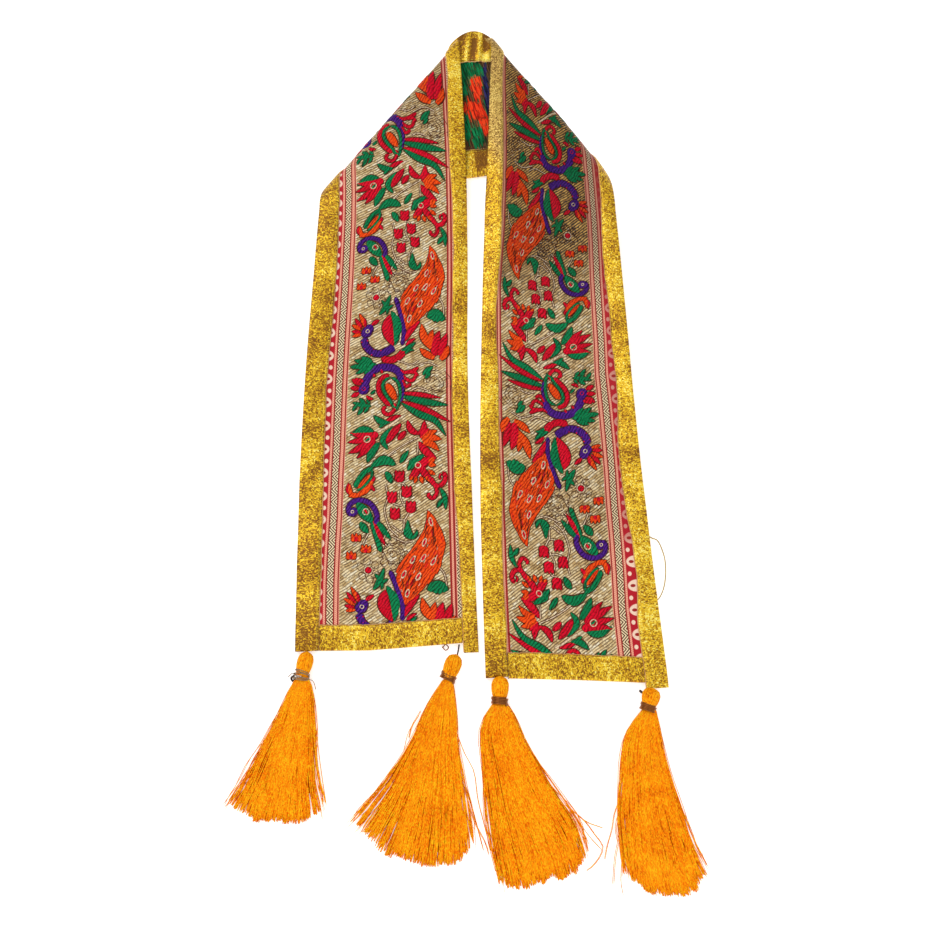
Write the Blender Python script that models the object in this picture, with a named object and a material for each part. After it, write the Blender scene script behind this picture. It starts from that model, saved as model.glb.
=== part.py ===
"""A brocade stole laid flat: one long strip bound with gold ribbon, folded back at
both shoulders so that the neck stretch lies under the two legs and shows its
reverse in the gap, with a silk tassel at each of the four hem corners.

Lengths are in millimetres in the tables and functions, and metres in the meshes.
The frame: +Y runs from the hems to the neck, +Z is up from the surface that the
stole lies on, and the origin is the middle of the footprint on that surface.
"""

import math

import bmesh
import bpy
import numpy as np

for old in list(bpy.data.objects):
    bpy.data.objects.remove(old, do_unlink=True)

# ------------------------------------------------------------------ driving sizes (mm)
WIDTH = 101.6          # finished width of the strip, 4 inches
CLOTH = 1.0            # brocade with its floats and backing
RIBBON = 1.0           # gold ribbon that binds every edge
GAP = 0.3              # between neighbouring pieces
MID = CLOTH / 2 + GAP + RIBBON       # middle of the brocade above the surface
EDGE = RIBBON + GAP                  # how far the brocade's edge stays inside the ribbon
REVERSE_BAND = 20.0    # ribbon showing on the reverse
HEM_BAND = 14.5        # ribbon showing across each hem
ORIGIN = (-5.0, 37.92)  # middle of the footprint, in the working plan below

# One row for each half of the strip.
#   x0, y0        middle of the hem
#   fx, fy, fdir  a point on the crest of the shoulder fold, and its direction in degrees
#   r0, r1        radius of the rolled fold at its outer end and 140 mm further up
#   rise          length over which the leg climbs to the roll
#   bow           how far the crest bulges outward, most at a third of its length
#   side          +1 where the neck edge of the strip is toward +X
HALF = {
    "left": dict(x0=-48.4, y0=-105.0, fx=-91.5, fy=180.1, fdir=53.73,
                 r0=7.0, r1=2.4, rise=124.0, bow=0.0, side=1.0),
    "right": dict(x0=58.64, y0=-122.0, fx=80.8, fy=187.8, fdir=123.08,
                  r0=8.5, r1=2.4, rise=124.0, bow=4.0, side=-1.0),
}
# Course of the strip: distance from the hem, heading in degrees, share of the full width
COURSE = {
    "left": [(0, 92.12, 1.022), (100, 91.19, 0.999), (200, 88.30, 0.940),
             (300, 89.90, 0.887), (370, 91.14, 0.836), (430, 92.88, 0.773)],
    "right": [(0, 93.50, 1.007), (100, 92.81, 0.955), (200, 90.95, 0.876),
              (300, 90.67, 0.781), (370, 92.70, 0.692), (430, 93.06, 0.595)],
}
# Ribbon showing on the face: distance from the hem, outer binding, inner binding
BANDS = {
    "left": [(0, 15.5, 10.5), (120, 14.5, 10.5), (250, 14.0, 10.5), (430, 14.0, 11.5)],
    "right": [(0, 13.0, 13.0), (120, 13.0, 12.0), (250, 12.6, 11.0), (430, 12.6, 14.0)],
}
# Hem line: share of the width from the outer edge, distance from the square hem
HEM_LINE = {
    "left": [(0.0, 2.2), (0.4, 1.0), (0.75, 2.5), (1.0, 3.7)],
    "right": [(0.0, -3.3), (0.15, -2.4), (0.5, 1.2), (1.0, 5.5)],
}
# Where the outer and the inner binding end at the hem
BIND_END = {"left": (1.8, -2.2), "right": (-6.0, 5.3)}

# Tassels: one row for each section of the skirt, from the wrap to the tips
#   left edge x, y; right edge x, y; height
SKIRTS = {
    1: [(-100.5, -121.6, -91.4, -119.4, 6.6), (-105.5, -133.9, -88.0, -133.9, 6.4),
        (-111.2, -147.1, -86.4, -147.6, 5.8), (-118.2, -159.9, -85.2, -160.9, 5.0),
        (-125.3, -173.3, -82.5, -173.8, 4.2), (-131.9, -185.1, -78.8, -186.1, 3.4),
        (-124.4, -189.9, -83.7, -189.9, 2.8), (-113.3, -192.8, -91.1, -192.8, 2.2)],
    2: [(-17.7, -121.6, -11.0, -120.5, 6.6), (-26.0, -136.6, -9.2, -137.1, 6.4),
        (-32.2, -150.7, -8.2, -153.2, 5.8), (-40.5, -164.4, -6.2, -166.4, 5.0),
        (-48.6, -175.8, -4.0, -177.2, 4.2), (-56.5, -185.1, -1.3, -189.4, 3.6),
        (-62.7, -193.8, 0.8, -201.3, 3.0), (-51.9, -203.6, 1.3, -209.2, 2.6),
        (-37.7, -210.6, -6.9, -211.5, 2.2)],
    3: [(10.3, -134.0, 19.7, -132.9, 6.8), (5.2, -143.5, 24.9, -143.5, 6.6),
        (4.3, -152.8, 29.1, -153.2, 6.0), (5.6, -167.4, 37.7, -166.4, 5.2),
        (7.1, -186.6, 51.9, -186.6, 4.4), (8.4, -196.1, 57.3, -196.1, 3.8),
        (9.6, -204.5, 61.0, -205.4, 3.2), (11.6, -213.3, 59.4, -214.2, 2.8),
        (14.2, -222.3, 48.0, -219.6, 2.2)],
    4: [(92.6, -136.6, 101.4, -137.1, 6.8), (84.9, -147.1, 102.4, -147.1, 6.6),
        (81.7, -156.3, 104.0, -157.8, 6.0), (79.3, -170.8, 106.7, -170.3, 5.2),
        (77.7, -184.7, 110.4, -183.7, 4.4), (77.6, -197.4, 114.5, -196.1, 3.8),
        (78.6, -209.2, 119.7, -208.7, 3.2), (79.9, -219.6, 121.8, -216.0, 2.8),
        (86.0, -224.6, 117.0, -224.6, 2.2)],
}
# Head and wrap: top x, y; neck x, y; head width; wrap width
HEADS = {
    1: (-92.9, -106.3, -95.6, -117.4, 9.0, 8.4),
    2: (-8.9, -107.6, -13.5, -118.8, 9.6, 7.4),
    3: (15.6, -120.9, 15.2, -130.6, 9.8, 9.0),
    4: (100.6, -127.4, 98.0, -134.4, 8.8, 8.6),
}
# Shape of a head: share of its length, share of its width
HEAD_FORM = [(0.0, 0.50), (0.14, 0.80), (0.36, 1.0), (0.64, 0.98), (0.86, 0.86), (1.0, 0.74)]


# ------------------------------------------------------------------ the strip's middle surface
def smooth(x):
    x = np.clip(x, 0.0, 1.0)
    return x * x * (3.0 - 2.0 * x)


class Half:
    """One leg with its shoulder fold.  Strip coordinates are u, the distance from the
    hem along the middle line, and v, from 0 at the outer edge to WIDTH at the inner."""

    def __init__(self, name):
        self.name = name
        self.p = p = HALF[name]
        self.side = p["side"]
        rows = COURSE[name]
        self.ku = [r[0] for r in rows]
        self.kw = [r[2] for r in rows]
        self.us = np.arange(-20.0, 560.0, 2.0)
        self.hd = np.radians(np.interp(self.us, self.ku, [r[1] for r in rows]))
        x = np.concatenate([[0.0], np.cumsum(2.0 * np.cos(self.hd[:-1]))])
        y = np.concatenate([[0.0], np.cumsum(2.0 * np.sin(self.hd[:-1]))])
        self.cx = x - x[10] + p["x0"]
        self.cy = y - y[10] + p["y0"]
        a = math.radians(p["fdir"])
        self.d = (math.cos(a), math.sin(a))
        n = (math.sin(a), -math.cos(a))
        self.n = n if n[0] * self.side < 0 else (-n[0], -n[1])

    def radius(self, t):
        return self.p["r0"] + (self.p["r1"] - self.p["r0"]) * np.clip(t / 140.0, -0.15, 1.0)

    def bow(self, t):
        x = np.clip((t + 25.0) / 150.0, 0.0, 1.0)
        return self.p["bow"] * 6.75 * x * (1.0 - x) ** 2

    def climb(self, r):
        run = self.p["rise"] - r
        return run + 0.6 * (2.0 * r) ** 2 / run

    def plan(self, u, v):
        x = np.interp(u, self.us, self.cx)
        y = np.interp(u, self.us, self.cy)
        h = np.interp(u, self.us, self.hd)
        w = (v - WIDTH / 2) * np.interp(u, self.ku, self.kw) * self.side
        return x + np.sin(h) * w, y - np.cos(h) * w

    def along(self, u, v):
        """distance past the foot of the rise, and place along the fold"""
        x, y = self.plan(u, v)
        x, y = x - self.p["fx"], y - self.p["fy"]
        t = x * self.d[0] + y * self.d[1]
        return x * self.n[0] + y * self.n[1] + self.p["rise"] - self.bow(t), t

    def station(self, v, turn, extra=0.0):
        """u at which the line of constant v has reached the foot of the rise (turn None)
        or has turned by `turn` radians round the roll, and `extra` mm more"""
        s, t = self.along(self.us, np.full_like(self.us, v))
        if turn is None:
            return float(np.interp(0.0, s, self.us))
        r = self.radius(t)
        return float(np.interp(0.0, s - self.climb(r) - turn * r - extra, self.us))

    def point(self, u, v):
        s, t = self.along(u, v)
        r = self.radius(t)
        top = self.climb(r)
        f = np.clip(s / top, 0.0, 1.0)
        th = np.clip((s - top) / r, 0.0, math.pi)
        back = np.clip(s - top - math.pi * r, 0.0, None)
        rise = self.p["rise"]
        h = np.where(s <= 0, s - rise,
                     np.where(s < top, -rise + (rise - r) * f, -r + r * np.sin(th) - back))
        h = h + self.bow(t)
        z = np.where(s <= 0, 0.0, np.where(s < top, 2.0 * r * smooth(f), r + r * np.cos(th)))
        return np.array([self.p["fx"] + self.n[0] * h + self.d[0] * t,
                         self.p["fy"] + self.n[1] * h + self.d[1] * t, z + MID])

    def normal(self, u, v):
        """unit normal on the face side of the cloth"""
        e = 0.04
        a = self.point(u + e, v) - self.point(u - e, v)
        b = self.point(u, v + e) - self.point(u, v - e)
        c = np.cross(a, b) * -self.side
        return c / np.linalg.norm(c)

    def at(self, u, v, h):
        """point h mm out of the middle surface, on the face side where h is above 0"""
        return self.point(u, v) + self.normal(u, v) * h

    def rows(self, start):
        """functions u(v) of the rows from the hem line start(v) to the end of the roll"""
        out = []
        for k in range(9):
            out.append(lambda v, f=k / 8.0: start(v) + (self.station(v, None) - start(v)) * f)
        for k in range(1, 11):
            out.append(lambda v, f=k / 10.0: self.station(v, None)
                       + (self.station(v, 0.0) - self.station(v, None)) * f)
        for k in range(1, 9):
            out.append(lambda v, f=k / 8.0: self.station(v, math.pi * f))
        return out


LEFT = Half("left")
RIGHT = Half("right")


def hermite(p0, m0, p1, m1, w):
    a = 2 * w ** 3 - 3 * w ** 2 + 1
    b = w ** 3 - 2 * w ** 2 + w
    c = -2 * w ** 3 + 3 * w ** 2
    d = w ** 3 - w ** 2
    return a * np.array(p0) + b * np.array(m0) + c * np.array(p1) + d * np.array(m1)


class Neck:
    """The stretch between the two folds, face down.  w runs from the end of the left
    roll (0) to the end of the right one (1), v as on the legs: 0 at the lower edge,
    WIDTH at the arch."""

    ARCH = 3.5           # how far the upper edge bows up the plan
    LIFT = 0.5           # how far it stands off the surface at its middle
    SAG = 5.0            # how far the lower edge bows down the plan
    SEAM = 0.5           # clear distance to the leg's own piece

    def end(self, half, v):
        return half.point(half.station(v, math.pi, self.SEAM), v)

    def point(self, w, v):
        f = v / WIDTH
        p = self.end(LEFT, v) * (1.0 - w) + self.end(RIGHT, v) * w
        round_ = 4.0 * w * (1.0 - w)
        p[1] += round_ * (self.ARCH * f * f - self.SAG * (1.0 - f) ** 2)
        p[2] = MID + self.LIFT * round_ * round_ * f
        return p

    def at(self, w, v, h):
        e = 0.004
        a = self.point(w + e, v) - self.point(w - e, v)
        b = self.point(w, v + 0.4) - self.point(w, v - 0.4)
        c = np.cross(a, b)
        c = c / np.linalg.norm(c)
        if c[2] > 0:
            c = -c
        return self.point(w, v) + c * h


NECK = Neck()


# ------------------------------------------------------------------ meshes
def material(name, colour, rough, metal=0.0):
    m = bpy.data.materials.new(name)
    m.use_nodes = True
    b = m.node_tree.nodes["Principled BSDF"]
    b.inputs["Base Color"].default_value = (*colour, 1.0)
    b.inputs["Roughness"].default_value = rough
    b.inputs["Metallic"].default_value = metal
    return m


M_BROCADE = material("brocade", (0.42, 0.31, 0.16), 0.6, 0.2)
M_RIBBON = material("gold_ribbon", (0.80, 0.55, 0.10), 0.38, 0.7)
M_SILK = material("orange_silk", (0.93, 0.38, 0.02), 0.45)
M_WRAP = material("bronze_wire", (0.28, 0.13, 0.05), 0.4, 0.6)


def add_object(name, verts, faces, mat, sharp=35.0):
    me = bpy.data.meshes.new(name)
    me.from_pydata([((p[0] - ORIGIN[0]) / 1000.0, (p[1] - ORIGIN[1]) / 1000.0, p[2] / 1000.0)
                    for p in verts], [], faces)
    bm = bmesh.new()
    bm.from_mesh(me)
    bmesh.ops.triangulate(bm, faces=bm.faces[:])
    bmesh.ops.recalc_face_normals(bm, faces=bm.faces[:])
    bm.to_mesh(me)
    bm.free()
    ob = bpy.data.objects.new(name, me)
    bpy.context.scene.collection.objects.link(ob)
    me.materials.append(mat)
    me.shade_smooth()
    me.set_sharp_from_angle(angle=math.radians(sharp))
    return ob


def sweep(name, sections, mat, sharp=35.0):
    """a closed solid through rings that all have the same number of points"""
    n = len(sections[0])
    verts = [p for ring in sections for p in ring]
    faces = []
    for k in range(len(sections) - 1):
        a, b = k * n, (k + 1) * n
        for i in range(n):
            j = (i + 1) % n
            faces.append((a + i, a + j, b + j, b + i))
    faces.append(tuple(range(n - 1, -1, -1)))
    faces.append(tuple((len(sections) - 1) * n + i for i in range(n)))
    return add_object(name, verts, faces, mat, sharp)


def sheet(name, top, bottom, mat):
    """a closed wall between two grids of the same size"""
    rows, cols = len(top), len(top[0])
    verts = [p for r in top for p in r] + [p for r in bottom for p in r]
    off = rows * cols
    faces = []
    for r in range(rows - 1):
        for c in range(cols - 1):
            a, b, d, e = r * cols + c, r * cols + c + 1, (r + 1) * cols + c + 1, (r + 1) * cols + c
            faces.append((a, b, d, e))
            faces.append((off + e, off + d, off + b, off + a))
    rim = ([(0, c) for c in range(cols)] + [(r, cols - 1) for r in range(1, rows)]
           + [(rows - 1, c) for c in range(cols - 2, -1, -1)] + [(r, 0) for r in range(rows - 2, 0, -1)])
    for k, (r, c) in enumerate(rim):
        r2, c2 = rim[(k + 1) % len(rim)]
        a, b = r * cols + c, r2 * cols + c2
        faces.append((b, a, off + a, off + b))
    return add_object(name, verts, faces, mat)


def bands(name, u):
    rows = BANDS[name]
    return (float(np.interp(u, [r[0] for r in rows], [r[1] for r in rows])),
            float(np.interp(u, [r[0] for r in rows], [r[2] for r in rows])))


def hem_line(name, v):
    rows = HEM_LINE[name]
    return float(np.interp(v / WIDTH, [r[0] for r in rows], [r[1] for r in rows]))


def ribbon_section(at, face, back, edge, inward):
    """points of the folded ribbon round one edge of the strip: `at` gives a point from
    (v, h), `edge` is v at the edge and `inward` +1 or -1 toward the middle"""
    t, g = CLOTH / 2, GAP
    out = t + g + RIBBON
    line = [(face, out), (0.7, out), (0.0, out - 0.6), (0.0, -out + 0.6), (0.7, -out), (back, -out),
            (back, -t - g), (EDGE - GAP + 0.0, -t - g), (EDGE - GAP + 0.0, t + g), (face, t + g)]
    return [at(edge + inward * v, h) for v, h in line]


def leg(half):
    name = half.name
    b_end = BIND_END[name]
    # brocade, inside the ribbons
    hem = lambda v: hem_line(name, v) + EDGE
    rows = half.rows(hem)
    vs = [EDGE + (WIDTH - 2 * EDGE) * k / 8.0 for k in range(9)]
    top = [[half.at(r(v), v, CLOTH / 2) for v in vs] for r in rows]
    bot = [[half.at(r(v), v, -CLOTH / 2) for v in vs] for r in rows]
    sheet("brocade_%s_leg" % name, top, bot, M_BROCADE)
    # ribbons along both long edges
    for label, edge, inward, which in (("outer", 0.0, 1.0, 0), ("inner", WIDTH, -1.0, 1)):
        start = b_end[which]
        u_hem = HEM_BAND + 6.5
        rows = half.rows(lambda v: u_hem + 0.9)
        sections = []
        for u0, wide in ((start, False), (start + 7.0, False), (u_hem, False)):
            face = bands(name, u0)[which]
            sections.append(ribbon_section(lambda v, h, u0=u0: half.at(u0, v, h),
                                           face, face, edge, inward))
        for r in rows:
            u_ref = r(edge)
            face = bands(name, u_ref)[which]
            sections.append(ribbon_section(lambda v, h, r=r: half.at(r(v), v, h),
                                           face, REVERSE_BAND, edge, inward))
        sweep("binding_%s_%s" % (label, name), sections, M_RIBBON)
    # ribbon across the hem
    o, i = bands(name, 8.0)
    va, vb = o + GAP, WIDTH - i - GAP
    t, g = CLOTH / 2, GAP
    out = t + g + RIBBON
    sections = []
    for k in range(9):
        v = va + (vb - va) * k / 8.0
        h0 = hem_line(name, v)
        line = [(HEM_BAND, out), (0.7, out), (0.0, out - 0.6), (0.0, -out + 0.6), (0.7, -out),
                (HEM_BAND, -out), (HEM_BAND, -t - g), (EDGE - GAP, -t - g), (EDGE - GAP, t + g),
                (HEM_BAND, t + g)]
        sections.append([half.at(h0 + u, v, h) for u, h in line])
    sweep("hem_band_%s" % name, sections, M_RIBBON)


def neck():
    ws = [k / 10.0 for k in range(11)]
    vs = [EDGE + (WIDTH - 2 * EDGE) * k / 8.0 for k in range(9)]
    top = [[NECK.at(w, v, CLOTH / 2) for v in vs] for w in ws]
    bot = [[NECK.at(w, v, -CLOTH / 2) for v in vs] for w in ws]
    sheet("brocade_neck", top, bot, M_BROCADE)
    for label, edge, inward, which in (("outer", 0.0, 1.0, 0), ("inner", WIDTH, -1.0, 1)):
        sections = []
        for w in ws:
            face = (13.5, 12.0)[which]
            sections.append(ribbon_section(lambda v, h, w=w: NECK.at(w, v, h),
                                           face, REVERSE_BAND, edge, inward))
        sweep("binding_%s_neck" % label, sections, M_RIBBON)


def oval(cx, cy, ax, ay, width, height, floor=0.0, n=12):
    """a ring across the direction (ax, ay), flat where it rests on the surface"""
    nx, ny = -ay, ax
    ring = []
    for k in range(n):
        a = 2 * math.pi * (k + 0.5) / n
        c, s = math.cos(a), math.sin(a)
        z = floor + height / 2 + height / 2 * max(-1.0, min(1.0, s * 1.04))
        ring.append((cx + nx * width / 2 * c, cy + ny * width / 2 * c, z))
    return ring


def tassel(i):
    tx, ty, bx, by, wide, wrap = HEADS[i]
    length = math.hypot(bx - tx, by - ty)
    ax, ay = (bx - tx) / length, (by - ty) / length
    sections = []
    for f, w in HEAD_FORM:
        d = f * (length - 2 * GAP)
        sections.append(oval(tx + ax * d, ty + ay * d, ax, ay, wide * w, wide * w * 0.86))
    sweep("tassel_%d_head" % i, sections, M_SILK, 60.0)
    # wire wrap
    rows = SKIRTS[i]
    x1, y1 = (rows[0][0] + rows[0][2]) / 2, (rows[0][1] + rows[0][3]) / 2
    run = math.hypot(x1 - bx, y1 - by)
    wx, wy = (x1 - bx) / run, (y1 - by) / run
    sections = []
    for f, w in ((0.0, 0.88), (0.2, 1.0), (0.8, 1.0), (1.0, 0.9)):
        d = GAP * 0.6 + f * (run - 2.2 * GAP)
        sections.append(oval(bx + wx * d, by + wy * d, wx, wy, wrap * w, wrap * w * 0.84))
    sweep("tassel_%d_wrap" % i, sections, M_WRAP, 60.0)
    # skirt
    sections = []
    n = 14
    for k, (xl, yl, xr, yr, high) in enumerate(rows):
        cx, cy = (xl + xr) / 2, (yl + yr) / 2
        hx, hy = (xr - xl) / 2, (yr - yl) / 2
        if k == 0:                      # square to the wrap that it comes out of
            half = math.hypot(hx, hy)
            hx, hy = -wy * half, wx * half
            cx, cy = cx + wx * GAP, cy + wy * GAP
        ring = []
        for q in range(n):
            a = 2 * math.pi * (q + 0.5) / n
            c, s = math.cos(a), math.sin(a)
            c = math.copysign(abs(c) ** 0.7, c)
            s = math.copysign(abs(s) ** 0.7, s)
            z = high / 2 + high / 2 * max(-1.0, min(1.0, s * 1.06))
            ring.append((cx + hx * c, cy + hy * c, z))
        sections.append(ring)
    sweep("tassel_%d_skirt" % i, sections, M_SILK, 60.0)


leg(LEFT)
leg(RIGHT)
neck()
for number in SKIRTS:
    tassel(number)
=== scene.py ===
"""A brocade stole laid flat: one woven strip bound in gold ribbon, folded back at both
shoulders, with its reverse showing in the gap at the neck, and four silk tassels.

Lengths are in millimetres of the working plan in the tables and functions, and metres
in the meshes.  Strip coordinates are u, the distance from the hem along the middle of a
leg, and v, from 0 at its outer edge to WIDTH at its inner one.
"""

import math

import bpy
import numpy as np
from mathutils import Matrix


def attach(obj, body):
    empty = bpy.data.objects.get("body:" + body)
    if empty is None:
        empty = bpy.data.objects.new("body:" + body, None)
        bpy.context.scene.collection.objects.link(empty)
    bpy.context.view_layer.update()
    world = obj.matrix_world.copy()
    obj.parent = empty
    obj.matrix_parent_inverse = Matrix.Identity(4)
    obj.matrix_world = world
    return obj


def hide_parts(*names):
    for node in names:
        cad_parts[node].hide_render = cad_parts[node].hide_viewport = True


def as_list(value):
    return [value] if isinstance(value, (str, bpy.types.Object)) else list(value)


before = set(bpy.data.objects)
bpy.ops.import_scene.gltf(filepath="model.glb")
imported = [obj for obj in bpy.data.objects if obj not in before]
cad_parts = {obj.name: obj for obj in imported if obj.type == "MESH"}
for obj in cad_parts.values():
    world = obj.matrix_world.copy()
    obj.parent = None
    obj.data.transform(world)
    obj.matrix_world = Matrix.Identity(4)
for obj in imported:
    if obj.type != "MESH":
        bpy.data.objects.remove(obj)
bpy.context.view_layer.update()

WIDTH = 101.6          # finished width of the strip
CLOTH = 1.0            # thickness of the brocade
GAP = 0.3
EDGE = 1.3             # how far the brocade's edge stays inside the ribbon
MID = 1.8              # middle of the brocade above the surface
TOP = 1.45             # face of the ribbon, from the middle of the brocade
UNDER = -1.75          # its reverse
ORIGIN = (-5.0, 37.92)
PERIOD = 168.0         # one repeat of the woven pattern
RNG = np.random.default_rng(7)


def metres(p):
    p = np.asarray(p, float)
    return (p - np.array([ORIGIN[0], ORIGIN[1], 0.0])) / 1000.0


# ------------------------------------------------------------------ camera
cam_data = bpy.data.cameras.new("camera")
cam_data.sensor_width = 36.0
cam_data.lens = 38.095
cam_data.clip_start = 0.01
camera = bpy.data.objects.new("camera", cam_data)
bpy.context.scene.collection.objects.link(camera)
camera.location = (0.005, -0.18279, 0.5755)
camera.rotation_euler = (math.radians(14.13), 0.0, 0.0)
bpy.context.scene.camera = camera


# ------------------------------------------------------------------ meshes
def link(name, verts, faces, mats, uvs=(), face_mat=None, smooth=True):
    """verts in working-plan mm; uvs is a list of (layer, one pair for each vertex)"""
    me = bpy.data.meshes.new(name)
    verts = metres(verts)
    faces = np.asarray(faces, dtype=np.int64)
    n = faces.shape[1]
    me.vertices.add(len(verts))
    me.vertices.foreach_set("co", verts.astype(np.float32).ravel())
    me.loops.add(faces.size)
    me.loops.foreach_set("vertex_index", faces.astype(np.int32).ravel())
    me.polygons.add(len(faces))
    me.polygons.foreach_set("loop_start", (np.arange(len(faces)) * n).astype(np.int32))
    if face_mat is not None:
        me.polygons.foreach_set("material_index", np.asarray(face_mat, np.int32))
    me.update(calc_edges=True)
    for layer, values in uvs:
        data = me.uv_layers.new(name=layer)
        flat = np.asarray(values, np.float32)[faces.ravel()]
        data.data.foreach_set("uv", flat.ravel())
    for m in mats:
        me.materials.append(m)
    me.validate()
    if smooth:
        me.shade_smooth()
    ob = bpy.data.objects.new(name, me)
    bpy.context.scene.collection.objects.link(ob)
    return ob


def grid_quads(rows, cols, off=0, flip=False, wrap=False):
    r = np.arange(rows - 1)[:, None]
    c = np.arange(cols if wrap else cols - 1)[None, :]
    d = (c + 1) % cols
    a, b = r * cols + c, r * cols + d
    e, f = (r + 1) * cols + d, (r + 1) * cols + c
    q = np.stack([a, b, e, f], -1).reshape(-1, 4) + off
    return q[:, ::-1] if flip else q


def wall(top, bottom):
    """vertices and faces of a closed wall between two grids (rows, cols, 3); the top
    grid's normal side is rows x cols"""
    rows, cols = top.shape[:2]
    verts = np.concatenate([top.reshape(-1, 3), bottom.reshape(-1, 3)])
    off = rows * cols
    quads = [grid_quads(rows, cols), grid_quads(rows, cols, off, True)]
    rim = ([(0, c) for c in range(cols)] + [(r, cols - 1) for r in range(1, rows)]
           + [(rows - 1, c) for c in range(cols - 2, -1, -1)]
           + [(r, 0) for r in range(rows - 2, 0, -1)])
    ids = np.array([r * cols + c for r, c in rim])
    nxt = np.roll(ids, -1)
    quads.append(np.stack([nxt, ids, ids + off, nxt + off], -1))
    return verts, np.concatenate(quads)


def tubes(lines, radii, sides=3):
    """many tubes: lines (n, k, 3), radii (n, k)"""
    n, k = lines.shape[:2]
    tan = np.gradient(lines, axis=1)
    tan /= np.linalg.norm(tan, axis=2, keepdims=True) + 1e-9
    up = np.zeros_like(tan)
    up[..., 2] = 1.0
    side = np.cross(tan, up)
    bad = np.linalg.norm(side, axis=2, keepdims=True) < 0.05
    side = np.where(bad, np.array([1.0, 0.0, 0.0]), side)
    side /= np.linalg.norm(side, axis=2, keepdims=True)
    over = np.cross(side, tan)
    ring = []
    for q in range(sides):
        a = 2 * math.pi * q / sides + math.pi / 2
        ring.append(lines + (side * math.cos(a) + over * math.sin(a)) * radii[..., None])
    verts = np.stack(ring, 2)                       # n, k, sides, 3
    base = grid_quads(k, sides, 0, True, True)
    faces = (base[None] + (np.arange(n) * k * sides)[:, None, None]).reshape(-1, 4)
    return verts.reshape(-1, 3), faces


def catmull(points, n):
    """n points along a smooth line through the given ones, evenly spaced"""
    p = np.asarray(points, float)
    if len(p) < 3:
        t = np.linspace(0, 1, n)[:, None]
        return p[0] * (1 - t) + p[-1] * t
    q = np.vstack([2 * p[0] - p[1], p, 2 * p[-1] - p[-2]])
    out = []
    m = 12
    for i in range(1, len(q) - 2):
        for t in np.arange(m) / m:
            a, b, c, d = q[i - 1], q[i], q[i + 1], q[i + 2]
            out.append(0.5 * (2 * b + (c - a) * t + (2 * a - 5 * b + 4 * c - d) * t * t
                              + (3 * b - a - 3 * c + d) * t ** 3))
    out.append(q[-2])
    out = np.array(out)
    s = np.concatenate([[0], np.cumsum(np.linalg.norm(np.diff(out, axis=0), axis=1))])
    want = np.linspace(0, s[-1], n)
    return np.stack([np.interp(want, s, out[:, i]) for i in range(out.shape[1])], -1)


# ------------------------------------------------------------------ course of the strip
#   x0, y0 middle of the hem; fx, fy, fdir crest of the shoulder fold and its direction;
#   r0, r1 radius of the roll; rise length of the climb; bow bulge of the crest;
#   side +1 where the neck edge is toward +X
HALF = {
    "left": dict(x0=-48.4, y0=-105.0, fx=-91.5, fy=180.1, fdir=53.73,
                 r0=7.0, r1=2.4, rise=124.0, bow=0.0, side=1.0),
    "right": dict(x0=58.64, y0=-122.0, fx=80.8, fy=187.8, fdir=123.08,
                  r0=8.5, r1=2.4, rise=124.0, bow=4.0, side=-1.0),
}
# distance from the hem, heading in degrees, share of the full width
COURSE = {
    "left": [(0, 92.12, 1.022), (100, 91.19, 0.999), (200, 88.30, 0.940),
             (300, 89.90, 0.887), (370, 91.14, 0.836), (430, 92.88, 0.773)],
    "right": [(0, 93.50, 1.007), (100, 92.81, 0.955), (200, 90.95, 0.876),
              (300, 90.67, 0.781), (370, 92.70, 0.692), (430, 93.06, 0.595)],
}
# ribbon showing on the face: distance from the hem, outer binding, inner binding
BANDS = {
    "left": [(0, 13.6, 8.8), (20, 13.8, 8.8), (40, 14.2, 8.7), (60, 14.4, 8.6), (80, 14.4, 9.4),
             (100, 14.3, 10.6), (140, 13.6, 10.1), (160, 14.2, 10.5), (180, 14.8, 10.0),
             (200, 14.8, 9.4), (220, 14.8, 10.4), (240, 14.1, 10.2), (260, 13.3, 10.2),
             (280, 12.2, 10.4), (300, 12.0, 11.1), (320, 12.0, 12.1), (340, 12.0, 12.4),
             (360, 12.0, 12.2), (380, 12.0, 10.8), (430, 12.0, 11.2)],
    "right": [(0, 13.0, 13.0), (20, 13.2, 13.0), (40, 10.6, 13.0), (60, 11.2, 12.5),
              (80, 13.0, 12.7), (100, 13.4, 13.2), (120, 12.8, 13.7), (140, 11.0, 13.0),
              (160, 10.6, 12.5), (180, 11.8, 12.7), (200, 11.6, 12.3), (220, 12.9, 10.9),
              (240, 12.9, 10.5), (260, 11.6, 12.2), (280, 10.6, 13.7), (300, 10.2, 13.8),
              (340, 10.2, 13.8), (360, 10.2, 13.4), (380, 10.2, 12.5), (430, 10.2, 13.0)],
}
# how far the woven stripes lie from their even place: distance from the hem, outer, inner
DRIFT = {
    "left": [(20, 3.4, 1.4), (40, 3.4, 1.2), (60, 2.8, 1.0), (80, 1.8, 0.9), (120, 1.2, 0.8), (160, 1.4, 0.7),
             (220, 1.5, 0.9), (260, 2.1, 1.2), (280, 2.9, 1.4), (300, 4.4, 1.6), (340, 4.6, 2.3),
             (360, 4.6, 2.6)],
    "right": [(20, 1.2, 1.6), (40, 1.2, 1.6), (60, 2.2, 1.6), (80, 2.8, 1.9), (100, 3.1, 1.9),
              (120, 4.0, 2.3), (140, 4.2, 1.9), (160, 4.0, 1.4), (180, 3.3, 1.5), (200, 3.9, 1.2),
              (220, 4.0, 0.9), (240, 4.2, 0.6), (260, 4.9, 1.9), (280, 5.3, 3.2), (300, 5.3, 3.7),
              (340, 5.5, 3.3), (380, 5.5, 2.0)],
}
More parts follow.
